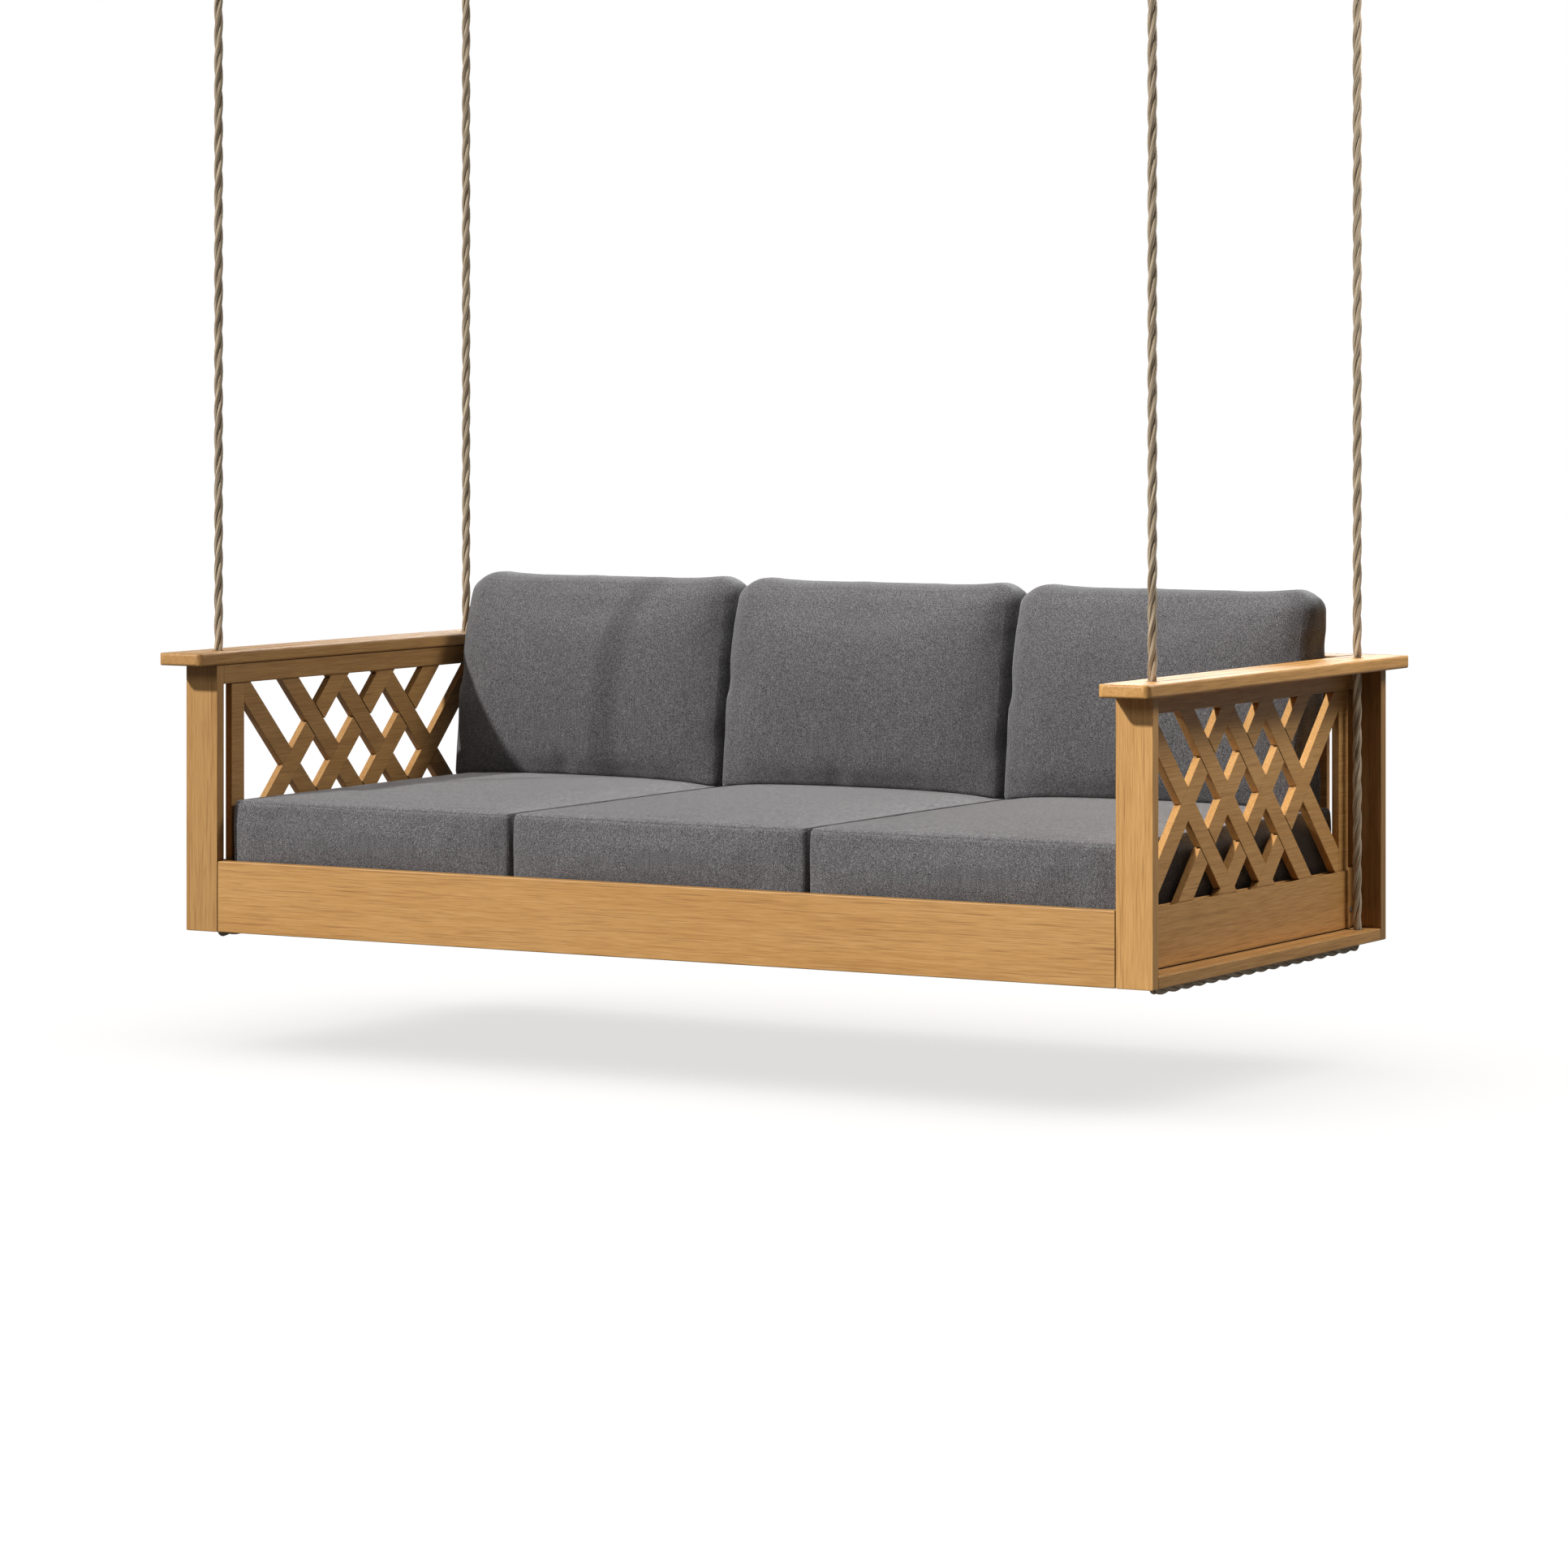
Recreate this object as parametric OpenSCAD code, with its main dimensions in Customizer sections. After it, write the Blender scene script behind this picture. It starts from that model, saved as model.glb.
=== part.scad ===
// Hanging swing bed: a boarded frame with woven lattice sides, three seat cushions and
// three back cushions, carried by ropes that run down through the arms, under the side
// ledges and up again, and that hang from four ceiling brackets.
//
// Frame of the model: the origin is the middle of the ceiling bracket pattern, on the
// ceiling. +X runs along the bed to the right, +Y to its back and +Z up.

/* [Frame] */
// Length over the posts
frame_length = 2000; // [1500:10:2400]
// Depth over the posts, front face to rear face
frame_depth = 963; // [760:1:1200]
// Height of the posts, up to the underside of the arms
post_height = 495; // [400:1:600]
// Width of each post
post_width = 70; // [60:1:90]
// Thickness of the posts, aprons and ledges
board = 22; // [18:0.5:28]
// Height of the front and rear aprons
apron_height = 131.5; // [100:0.5:160]
// Joint gap between an apron and a post
apron_gap = 1.6; // [0.5:0.1:3]

/* [Arms] */
// Width of the arm boards and of the back cap
arm_width = 98.7; // [80:0.1:120]
// Thickness of the arm boards and of the back cap
arm_thickness = 23; // [18:0.5:30]
// How far the arms pass the outer face of the posts
arm_side_overhang = 22.3; // [10:0.1:30]
// How far the arms pass the posts at the front
arm_front_overhang = 60.5; // [30:0.5:90]
// How far the arms and the back cap pass the posts at the rear
arm_rear_overhang = 62; // [30:0.5:90]
// Radius of the arms' corners, seen from above
arm_corner = 15; // [8:1:25]
// Radius of the long edges of the arms
arm_edge = 5; // [3:0.5:8]

/* [Panels] */
// Height of the top rails
top_rail_height = 36.5; // [25:0.5:60]
// Thickness of the side rails
side_rail = 21; // [18:0.5:28]
// Height of the bottom side rails
bottom_rail_height = 104.5; // [70:0.5:130]
// Gap between a bottom side rail and the ledge
ledge_gap = 2; // [0.5:0.1:6]
// Gap between a bottom side rail and a post, filled by the corner block
rail_end_gap = 29; // [20:1:40]
// Width of the stiles beside the lattice
stile_width = 40; // [25:1:60]
// Gap between a rear stile and its post
back_stile_gap = 40; // [20:1:80]
// Thickness of the lattice and the stiles
lattice = 14; // [10:0.5:17]
// Depth of the rail grooves that hold the lattice
groove = 5; // [3:0.5:8]
// Wood left between the lattice and a rail's inner face
groove_lip = 3; // [2:0.5:4]
// Width of each lattice slat
slat_width = 41; // [30:0.5:50]
// Distance between neighbouring slats, before they are spread evenly over a panel
lattice_pitch = 156; // [120:1:200]
// Wider lap on the show face, beside a slat that passes over
reveal = 2; // [1:0.1:3]

/* [Seat] */
// Height of the top of the seat slats over the bed's lowest board
seat_height = 96; // [80:1:110]
// Thickness of the seat slats
seat_slat_thickness = 19; // [14:0.5:25]
// Width of each seat slat
seat_slat_width = 88; // [60:1:110]
// Number of seat slats
seat_slat_count = 13; // [9:1:15]
// Thickness of the ledgers and the stringer under the slats
ledger = 32; // [25:1:40]
// Height of the ledgers and the stringer
ledger_height = 45; // [35:1:50]
// Width of the corner blocks
block_width = 44; // [36:1:60]

/* [Cushions] */
// Gap between the outer seat cushions and the side rails
seat_side_gap = 8; // [2:0.5:20]
// Thickness of the seat cushions at their edge
seat_cushion_height = 148; // [100:1:180]
// Rise of the seat cushions' middle over their edge
seat_crown = 13; // [4:1:20]
// Gap between the outer back cushions and the arms
back_side_gap = 10.6; // [4:0.1:30]
// Height of the back cushions
back_cushion_height = 387; // [300:1:480]
// Thickness of the back cushions at their foot, at the edge
back_cushion_foot = 132; // [100:1:160]
// Rise of the back cushions' front over its edge
back_crown = 14; // [4:1:24]
// Gap between neighbouring cushions
cushion_gap = 4; // [2:0.5:10]
// Gap behind the front apron
seat_front_gap = 5; // [2:0.5:15]
// Gap between the seat cushions and the back panel
seat_rear_gap = 29; // [10:1:60]
// Lean of the back cushions' rear face, sideways per unit of height
back_lean = 0.15; // [0.1:0.01:0.2]
// Gap between soft and hard pieces that rest on each other
soft_gap = 0.3; // [0.3:0.1:1]

/* [Ropes] */
// Rope diameter
rope = 16; // [12:1:18]
// Distance of the rope from the posts' outer face, along the depth
rope_inset = 60; // [50:1:80]
// Distance of the rope from the frame's end, along the length
rope_end_inset = 30.5; // [26:0.5:38]
// Radius of the rope's bend under the ledge, on its middle line
rope_bend = 17; // [15:0.5:22]
// Play of the rope in its holes, all round
rope_play = 4; // [3:0.5:5]

/* [Ceiling] */
// Height of the ceiling over the top of the arms
hang_height = 1480; // [1200:1:2000]
// Depth of the bracket pins under the ceiling
pin_depth = 36; // [32:1:60]
// Diameter of the bracket pins
pin = 12; // [10:0.5:14]
// Size of each bracket plate, across and along the bed's depth
bracket_plate = [60, 120]; // [40:1:160]
// Thickness of the bracket plates
plate = 6; // [4:0.5:10]
// Thickness of the bracket ears
ear = 6; // [4:0.5:8]
// Distance between the two bolt holes of a bracket
bolt_spacing = 84; // [80:1:100]
// Diameter of the bolt holes
bolt_hole = 10; // [8:0.5:12]
// Inner radius of the thimbles
thimble_inner = 14; // [12:0.5:18]
// Length of the ferrules
ferrule_length = 46; // [36:1:60]

/* [Hidden] */
$fn = 48;

wood = "#c8945a";
fabric = "#646465";
hemp = "#a8957c";
steel = "#9a9c9e";
over = 1; // how far a cutter passes the face that it opens

// Places in the bed's own frame: middle of its length and depth, underside of its posts.
end_x = frame_length / 2;
side_y = frame_depth / 2;
inner_x = end_x - post_width;
arm_outer_x = end_x + arm_side_overhang;
arm_inner_x = arm_outer_x - arm_width;
arm_top = post_height + arm_thickness;
rope_x = end_x - rope_end_inset;
rope_y = side_y - rope_inset;
bed_z = -(hang_height + arm_top);
front = -1;
rear = 1;
right = 1;
left = -1;

// Panel openings
side_opening = [
    frame_depth - 2 * (board + rail_end_gap + stile_width),
    post_height - top_rail_height - board - ledge_gap - bottom_rail_height
];
side_opening_z = board + ledge_gap + bottom_rail_height + side_opening[1] / 2;
back_opening = [
    2 * (inner_x - back_stile_gap - stile_width),
    post_height - top_rail_height - apron_height
];
back_opening_z = apron_height + back_opening[1] / 2;
side_lattice_x = inner_x + groove_lip + lattice / 2;
back_lattice_y = side_y - board + groove_lip + lattice / 2;
groove_play = 0.15;
lattice_raise = 2.4; // the crossings' middle lies this far over the middle of the opening
corner_cut = 10.3;   // what the end slats lose to the stile beside them

// Cushion sizes and places
cushion_count = 3;
function cushion_width(reach) = (2 * reach - (cushion_count - 1) * cushion_gap) / cushion_count;
seat_cushion_width = cushion_width(inner_x - seat_side_gap);
back_cushion_width = cushion_width(arm_inner_x - back_side_gap);
cushion_front = -side_y + board + seat_front_gap;
cushion_rear = side_y - board - seat_rear_gap;
seat_top = seat_height + soft_gap + seat_cushion_height;
cap_front_y = side_y + arm_rear_overhang - arm_width;
back_rear_y = cap_front_y - 2 * soft_gap - back_lean * (arm_top - seat_top - seat_crown / 2);
back_foot_share = (back_rear_y - back_cushion_foot / 2 - (cushion_front + cushion_rear) / 2)
    / ((cushion_rear - cushion_front) / 2);
back_foot_z = seat_top + seat_crown * dome(0, back_foot_share) + soft_gap;

// ---------- Shapes that repeat ----------

// Board with square edges, from its lowest to its highest corner
module board_between(low, high) {
    translate(low)
        cube(high - low);
}

module in_bed() {
    translate([0, 0, bed_z])
        children();
}

// Rounded rectangle about the origin, made of true arcs
module rounded_rectangle(size, r) {
    union() {
        square([size[0] - 2 * r, size[1]], center = true);
        square([size[0], size[1] - 2 * r], center = true);
        for (x = [-1, 1], y = [-1, 1])
            translate([x * (size[0] / 2 - r), y * (size[1] / 2 - r)])
                circle(r);
    }
}

// Arm board about its own middle: rounded in plan, and along both its long and short edges
module arm_board(length) {
    intersection() {
        linear_extrude(height = arm_thickness, center = true)
            rounded_rectangle([arm_width, length], arm_corner);
        rotate([90, 0, 0])
            linear_extrude(height = length + over, center = true)
                rounded_rectangle([arm_width, arm_thickness], arm_edge);
        rotate([90, 0, 90])
            linear_extrude(height = arm_width + over, center = true)
                rounded_rectangle([length, arm_thickness], arm_edge);
    }
}

// ---------- Lattice ----------
// Drawn in a plane: u along the panel, v up, w out of its show face.

function slat_reach(opening) = opening[0] - opening[1] + 2 * corner_cut;

function slat_count(opening) = round(slat_reach(opening) / lattice_pitch) + 1;

function slat_place(opening, i) =
    (i / (slat_count(opening) - 1) - 1 / 2) * slat_reach(opening);

// All slats one way: slant is 1 for rising and -1 for falling ones
module slats(opening, slant) {
    count = slat_count(opening);
    reach = opening[0] + opening[1];
    half = lattice / 2;
    for (i = [0 : count - 1])
        difference() {
            intersection() {
                linear_extrude(height = lattice, center = true)
                    square([opening[0], opening[1] + 2 * (groove - groove_play)], center = true);
                translate([0, lattice_raise, 0])
                    translate([slat_place(opening, i), 0, 0])
                        rotate([0, 0, 45 * slant])
                            cube([reach, slat_width, lattice + over], center = true);
            }
            for (j = [0 : count - 1])
                lap_notch(opening, slant, i, j, half);
        }
}

// The half of a slat that makes room for the slat that crosses it. A rising slat passes
// over on the show face where the two numbers differ by an even count.
module lap_notch(opening, slant, i, j, half) {
    here = slat_place(opening, i);
    there = slat_place(opening, j);
    rising_over = (i - j) % 2 == 0;
    cut_show_face = slant > 0 ? !rising_over : rising_over;
    play = slant > 0 && cut_show_face ? reveal : groove_play;
    u = (here + there) / 2;
    v = (there - here) / 2 * slant + lattice_raise;
    translate([u, v, (cut_show_face ? 1 : -1) * half])
        rotate([0, 0, 45 * slant])
            cube([slat_width + 2 * play, slat_width + 2 * over, 2 * half], center = true);
}

module side_slats_at(side, slant) {
    in_bed()
        color(wood)
            translate([side * side_lattice_x, 0, side_opening_z])
                rotate([90, 0, 90])
                    slats(side_opening, slant);
}

module back_slats_at(slant) {
    in_bed()
        color(wood)
            translate([0, back_lattice_y, back_opening_z])
                rotate([90, 0, 180])
                    slats(back_opening, slant);
}

// ---------- Frame ----------

module post(side, end) {
    in_bed()
        color(wood)
            translate([side * (end_x - post_width / 2), end * (side_y - board / 2), post_height / 2])
                cube([post_width, board, post_height], center = true);
}

// An apron closes the long side between two posts; the rear one carries the lattice
module apron(end) {
    length = 2 * (inner_x - apron_gap);
    in_bed()
        color(wood)
            difference() {
                translate([0, end * (side_y - board / 2), apron_height / 2])
                    cube([length, board, apron_height], center = true);
                if (end == rear)
                    back_groove(apron_height - groove, apron_height + over);
            }
}

module back_groove(low, high) {
    reach = inner_x - back_stile_gap + groove_play;
    thick = lattice / 2 + groove_play;
    board_between([-reach, back_lattice_y - thick, low], [reach, back_lattice_y + thick, high]);
}

module side_groove(side, low, high) {
    reach = side_opening[0] / 2 + stile_width + groove_play;
    thick = lattice / 2 + groove_play;
    translate([side * side_lattice_x, 0, 0])
        board_between([-thick, -reach, low], [thick, reach, high]);
}

// A ledge lies flat between the posts and takes the pull of the rope that runs under it
module ledge(side) {
    length = frame_depth - 2 * board;
    mouth = rope / 2 + rope_play;
    in_bed()
        color(wood)
            difference() {
                translate([side * (end_x - post_width / 2), 0, board / 2])
                    cube([post_width, length, board], center = true);
                for (end = [front, rear])
                    translate([side * rope_x, end * rope_y, 0]) {
                        translate([0, 0, -over])
                            cylinder(r = mouth, h = board + 2 * over);
                        translate([0, 0, -over])
                            cylinder(r1 = mouth + mouth_flare + over, r2 = mouth, h = mouth_flare + over);
                    }
            }
}
mouth_flare = 4;

module arm(side) {
    length = frame_depth + arm_front_overhang + arm_rear_overhang;
    middle_y = (arm_rear_overhang - arm_front_overhang) / 2;
    in_bed()
        color(wood)
            difference() {
                translate([side * (arm_outer_x - arm_width / 2), middle_y, post_height + arm_thickness / 2])
                    arm_board(length);
                for (end = [front, rear])
                    translate([side * rope_x, end * rope_y, post_height - over])
                        cylinder(r = rope / 2 + rope_play, h = arm_thickness + 2 * over);
            }
}

// The cap lies between the arms on the back's top rail
module back_cap() {
    in_bed()
        color(wood)
            translate([0, cap_front_y + arm_width / 2, post_height + arm_thickness / 2])
                rotate([90, 0, 90])
                    linear_extrude(height = 2 * arm_inner_x, center = true)
                        rounded_rectangle([arm_width, arm_thickness], arm_edge);
}

// Side rails, from low to high, flush with the posts' inner edge
module side_rail_at(side, low, high, end_gap) {
    reach = side_y - board - end_gap;
    translate([side * (inner_x + side_rail / 2), 0, (low + high) / 2])
        cube([side_rail, 2 * reach, high - low], center = true);
}

module side_top_rail(side) {
    low = post_height - top_rail_height;
    in_bed()
        color(wood)
            difference() {
                side_rail_at(side, low, post_height, 0);
                side_groove(side, low - over, low + groove);
            }
}

module side_bottom_rail(side) {
    low = board + ledge_gap;
    high = low + bottom_rail_height;
    in_bed()
        color(wood)
            difference() {
                side_rail_at(side, low, high, rail_end_gap);
                side_groove(side, high - groove, high + over);
            }
}

module stile(side, end) {
    height = side_opening[1] + 2 * (groove - groove_play);
    in_bed()
        color(wood)
            translate([side * side_lattice_x, end * (side_opening[0] + stile_width) / 2, side_opening_z])
                cube([lattice, stile_width, height], center = true);
}

module back_stile(side) {
    height = back_opening[1] + 2 * (groove - groove_play);
    in_bed()
        color(wood)
            translate([side * (back_opening[0] + stile_width) / 2, back_lattice_y, back_opening_z])
                cube([stile_width, lattice, height], center = true);
}

module back_top_rail() {
    low = post_height - top_rail_height;
    in_bed()
        color(wood)
            difference() {
                translate([0, side_y - board / 2, (low + post_height) / 2])
                    cube([2 * inner_x, board, top_rail_height], center = true);
                back_groove(low - over, low + groove);
            }
}

// Blocks that tie each post to its apron and to the bottom side rail
block_low = board + ledge_gap;
block_recess = 5; // from the rail's outer face to the block's
block_outer_x = inner_x + side_rail - block_recess;
block_inner_x = inner_x + side_rail - block_width;
block_step = seat_height - seat_slat_thickness;
screw_z = 56;
screw_shank = 4.4;
screw_head = 9.5;
screw_reach = 24;
screw_play = 0.1;
screw_dome = 0.7; // how much of the head's ball lies under its flat side
module corner_blocks() {
    in_bed()
        color(wood)
            for (side = [left, right], end = [front, rear])
                difference() {
                    union() {
                        block_part(side, end, block_inner_x, block_step);
                        block_part(side, end, inner_x, apron_height);
                    }
                    corner_screw_at(side, end)
                        translate([0, 0, -screw_reach - over])
                            cylinder(d = screw_shank + 2 * screw_play, h = screw_reach + 2 * over);
                }
}

// A block's upper part is no wider than the rail, clear of the cushions
module block_part(side, end, from_x, high) {
    translate([side * (block_outer_x + from_x) / 2,
               end * (side_y - board - rail_end_gap / 2),
               (block_low + high) / 2])
        cube([block_outer_x - from_x, rail_end_gap, high - block_low], center = true);
}

// Puts a screw, drawn along +Z with its head's underside at 0, on a block's outer face
module corner_screw_at(side, end) {
    translate([side * block_outer_x, end * (side_y - board - rail_end_gap / 2), screw_z])
        rotate([0, 90 * side, 0])
            children();
}

module corner_screws() {
    in_bed()
        color(steel)
            for (side = [left, right], end = [front, rear])
                corner_screw_at(side, end) {
                    translate([0, 0, -screw_reach])
                        cylinder(d = screw_shank, h = screw_reach);
                    intersection() {
                        cylinder(d = screw_head, h = screw_head);
                        translate([0, 0, -screw_head * screw_dome])
                            sphere(r = screw_head);
                    }
                }
}

// ---------- Seat ----------

module seat_beam(middle_y, reach) {
    high = seat_height - seat_slat_thickness;
    in_bed()
        color(wood)
            translate([0, middle_y, high - ledger_height / 2])
                cube([2 * reach, ledger, ledger_height], center = true);
}

module ledger_at(end) {
    seat_beam(end * (side_y - board - ledger / 2), block_inner_x);
}

module seat_slats() {
    pitch = (2 * inner_x - seat_slat_width - 2 * seat_slat_end_gap) / (seat_slat_count - 1);
    length = frame_depth - 2 * board;
    middle_z = seat_height - seat_slat_thickness / 2;
    in_bed()
        color(wood)
            for (i = [0 : seat_slat_count - 1])
                translate([(i - (seat_slat_count - 1) / 2) * pitch, 0, middle_z])
                    cube([seat_slat_width, length, seat_slat_thickness], center = true);
}
// Leaves room for the corner blocks beside the first and last slat
block_clear = 6;
seat_slat_end_gap = block_width - side_rail + block_clear;

// ---------- Cushions ----------
// A cushion is a stack of rings, each a rounded rectangle in x and y, closed at both ends.

corner_steps = 3;
side_steps = 5;
least_corner = 2;

// Points of a rounded rectangle with half sizes a and b; its rear, left, front and right
// sides draw in by the four pulls
function outline(a, b, r, pulls) = [
    for (q = [0 : 3])
        let (
            turn = q * 90,
            along = q % 2 == 0 ? a : b,
            across = q % 2 == 0 ? b : a
        )
        for (k = [0 : corner_steps + side_steps])
            let (
                on_arc = k <= corner_steps,
                angle = on_arc ? 90 * k / corner_steps : 90,
                s = on_arc ? 1 : 1 - 2 * (k - corner_steps) / (side_steps + 1),
                x = (along - r) * s + (on_arc ? r * cos(angle) : 0),
                y = across - r + r * sin(angle) - (on_arc ? 0 : pulls[q] * (1 - pow(s, 2))),
                c = cos(turn),
                d = sin(turn)
            )
            [x * c - y * d, x * d + y * c]
];

// The rings of a cushion between low and high, as [share of the outline, inset, z, crown]
function rings_of(height, edge, crown_low, crown_high) = let (
    bends = [90, 50, 20],
    spread = [0.35, 0.65, 0.87]
) concat(
    [for (s = spread) [s, edge, 0, -crown_low]],
    [for (t = bends) [1, edge * (1 - cos(t)), edge * (1 - sin(t)), 0]],
    [[1, 0, height / 2, 0]],
    [for (t = [2, 1, 0]) [1, edge * (1 - cos(bends[t])), height - edge * (1 - sin(bends[t])), 0]],
    [for (t = [2, 1, 0]) [spread[t], edge, height, crown_high]]
);

// Closed triangle skin over rings of equal length
module skin(rings, low_point, high_point) {
    n = len(rings[0]);
    count = len(rings);
    points = concat([for (ring = rings) each ring], [low_point, high_point]);
    polyhedron(points = points, faces = concat(
        [for (k = [0 : count - 2], i = [0 : n - 1])
            let (j = (i + 1) % n)
            each [[k * n + i, (k + 1) * n + i, (k + 1) * n + j], [k * n + i, (k + 1) * n + j, k * n + j]]],
        [for (i = [0 : n - 1]) [i, (i + 1) % n, count * n]],
        [for (i = [0 : n - 1]) [(count - 1) * n + (i + 1) % n, (count - 1) * n + i, count * n + 1]]
    ));
}

// Crown height at a share u, v of the half sizes
function dome(u, v) = (1 - u * u) * (1 - v * v);

function cushion_rings(a, b, height, corner, edge, pulls, crown_low, crown_high) = [
    for (ring = rings_of(height, edge, crown_low, crown_high))
        let (flat_out = outline(a - ring[1], b - ring[1], max(corner - ring[1], least_corner), pulls))
        [for (p = flat_out)
            let (x = p[0] * ring[0], y = p[1] * ring[0])
            [x, y, ring[2] + ring[3] * dome(x / a, y / b)]]
];

seat_corner = 16;
seat_edge = 18;
seat_pulls = [3, 3, 3, 3];
module seat_cushion(place) {
    a = seat_cushion_width / 2;
    b = (cushion_rear - cushion_front) / 2;
    pitch = seat_cushion_width + cushion_gap;
    in_bed()
        color(fabric)
            translate([place * pitch, (cushion_front + cushion_rear) / 2, seat_height + soft_gap])
                skin(
                    cushion_rings(a, b, seat_cushion_height, seat_corner, seat_edge, seat_pulls,
                                  0, seat_crown),
                    [0, 0, 0],
                    [0, 0, seat_cushion_height + seat_crown]
                );
}

// A back cushion is drawn lying down, on its rear face, and stood up by lean_point(): its
// rear face leans straight, and its front face bellies out at the foot.
back_corner = 62;
back_edge = 46;
back_pulls = [4, 4, 0, 4]; // its foot stays straight
front_sweep = 55; // how much further back the front's top is than its foot
function lean_point(p) = let (
    up = p[1] + back_cushion_height / 2,
    rear_y = back_rear_y + back_lean * up,
    front_y = back_rear_y - back_cushion_foot + front_sweep * pow(up / back_cushion_height, 2),
    share = p[2] / back_cushion_foot
) [p[0], rear_y + (front_y - rear_y) * share, back_foot_z + up];

module back_cushion(place) {
    a = back_cushion_width / 2;
    b = back_cushion_height / 2;
    rings = cushion_rings(a, b, back_cushion_foot, back_corner, back_edge, back_pulls, 0, back_crown);
    in_bed()
        color(fabric)
            translate([place * (back_cushion_width + cushion_gap), 0, 0])
                skin(
                    [for (ring = rings) [for (p = ring) lean_point(p)]],
                    lean_point([0, 0, 0]),
                    lean_point([0, 0, back_cushion_foot + back_crown])
                );
}

// ---------- Ropes ----------
// A rope is a tube along points in one upright plane, given as [y, z].

rope_sides = 8;

function way(a, b) = (b - a) / norm(b - a);

function tangent(points, i) =
    i == 0 ? way(points[0], points[1]) :
    i == len(points) - 1 ? way(points[i - 1], points[i]) :
    way([0, 0], way(points[i - 1], points[i]) + way(points[i], points[i + 1]));

// Radii gives the tube's radius at each point
module tube(points, radii) {
    last = len(points) - 1;
    rings = [for (i = [0 : last])
        let (t = tangent(points, i))
        [for (k = [0 : rope_sides - 1])
            let (
                angle = 360 * k / rope_sides,
                out = radii[i] * sin(angle)
            )
            [radii[i] * cos(angle), points[i][0] + out * t[1], points[i][1] - out * t[0]]]];
    skin(
        rings,
        [0, points[0][0], points[0][1]],
        [0, points[last][0], points[last][1]]
    );
}

// The eye: the rope turns round the thimble, which hangs on the bracket pin
groove_wall = 2.5;
seat_play = 0.3;
eye_radius = thimble_inner + groove_wall + rope / 2 + seat_play;
eye_play = 0.2;
eye_z = -pin_depth + pin / 2 - thimble_inner + eye_play;
leg_lean = 22;
leg_play = 0.5;
leg_gap = rope / 2 + leg_play;
leg_length = (eye_radius * cos(leg_lean) - leg_gap) / sin(leg_lean);
leg_low_z = eye_z - eye_radius * sin(leg_lean) - leg_length * cos(leg_lean);
leg_straight = 8;  // straight rope between the eye and the ferrule
tail_length = 12;  // tail that stands out of the ferrule
ferrule_top = leg_low_z - leg_straight;
tail_z = ferrule_top - ferrule_length - tail_length;
pivot_z = -hang_height;
pivot_gap = 0.3;   // between the free rope and what it turns on

// Points round the eye, far enough out for the straight runs between them to clear the thimble
eye_steps = 7;
eye_turn = (180 + 2 * leg_lean) / eye_steps;
function eye_arc() = [
    for (k = [0 : eye_steps])
        let (
            angle = 180 + leg_lean - k * eye_turn,
            far = eye_radius / cos(eye_turn / 2)
        )
        [far * cos(angle), eye_z + far * sin(angle)]
];

// Free rope: round foot at the arm's top, straight up, round the eye and down to its tail
foot_drops = [0.49, 0.35, 0] * rope;
foot_radii = [0.1, 0.36, 0.5] * rope;
joggle = [60, 10]; // where the rope leaves its upright and reaches the ferrule, under its tail
route = concat(
    [for (drop = foot_drops) [0, pivot_z - drop]],
    [[0, tail_z - joggle[0]], [-leg_gap, tail_z - joggle[1]], [-leg_gap, leg_low_z]],
    eye_arc(),
    [[leg_gap, leg_low_z], [leg_gap, tail_z]]
);

module free_rope(side, end) {
    foot = len(foot_radii);
    radii = [for (i = [0 : len(route) - 1]) i < foot ? foot_radii[i] : rope / 2];
    color(hemp)
        translate([side * rope_x, end * rope_y, 0])
            tube(route, radii);
}

// Cradle: the same rope from the arm down through the ledge, under it and up again
cradle_top = arm_top - rope / 2 - pivot_gap;
cradle_low = -rope / 2 - pivot_gap;
function bend_points(end) = [
    for (k = [0 : 4])
        let (angle = 90 * (end < 0 ? k : 4 - k) / 4)
        [end * (rope_y - rope_bend + rope_bend * cos(angle)),
         cradle_low + rope_bend - rope_bend * sin(angle)]
];

module cradle_rope(side) {
    points = concat(
        [[-rope_y, cradle_top]],
        bend_points(front),
        bend_points(rear),
        [[rope_y, cradle_top]]
    );
    in_bed()
        color(hemp)
            translate([side * rope_x, 0, 0])
                tube(points, [for (p = points) rope / 2]);
}

// ---------- Ceiling fittings ----------

ear_clear = 3;
ear_gap = rope + 2 * ear_clear;
ear_width = 34;
pin_play = 0.1;
plate_corner = 8;
head_height = 7.5;
head_width = 20;
nut_height = 10;
nut_width = 21;

module ceiling_brackets() {
    color(steel)
        for (side = [left, right], end = [front, rear])
            translate([side * rope_x, end * rope_y, 0])
                bracket();
}

module bracket() {
    difference() {
        union() {
            translate([0, 0, -plate])
                linear_extrude(height = plate)
                    rounded_rectangle(bracket_plate, plate_corner);
            for (s = [-1, 1])
                translate([s * (ear_gap + ear) / 2, 0, 0])
                    rotate([90, 0, 90])
                        linear_extrude(height = ear, center = true)
                            ear_outline();
        }
        translate([0, 0, -pin_depth])
            rotate([0, 90, 0])
                cylinder(d = pin + 2 * pin_play, h = bracket_plate[0], center = true);
        for (s = [-1, 1])
            translate([0, s * bolt_spacing / 2, -plate - over])
                cylinder(d = bolt_hole, h = plate + 2 * over);
    }
}

module ear_outline() {
    translate([-ear_width / 2, -pin_depth])
        square([ear_width, pin_depth - plate / 2]);
    translate([0, -pin_depth])
        circle(ear_width / 2);
}

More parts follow.
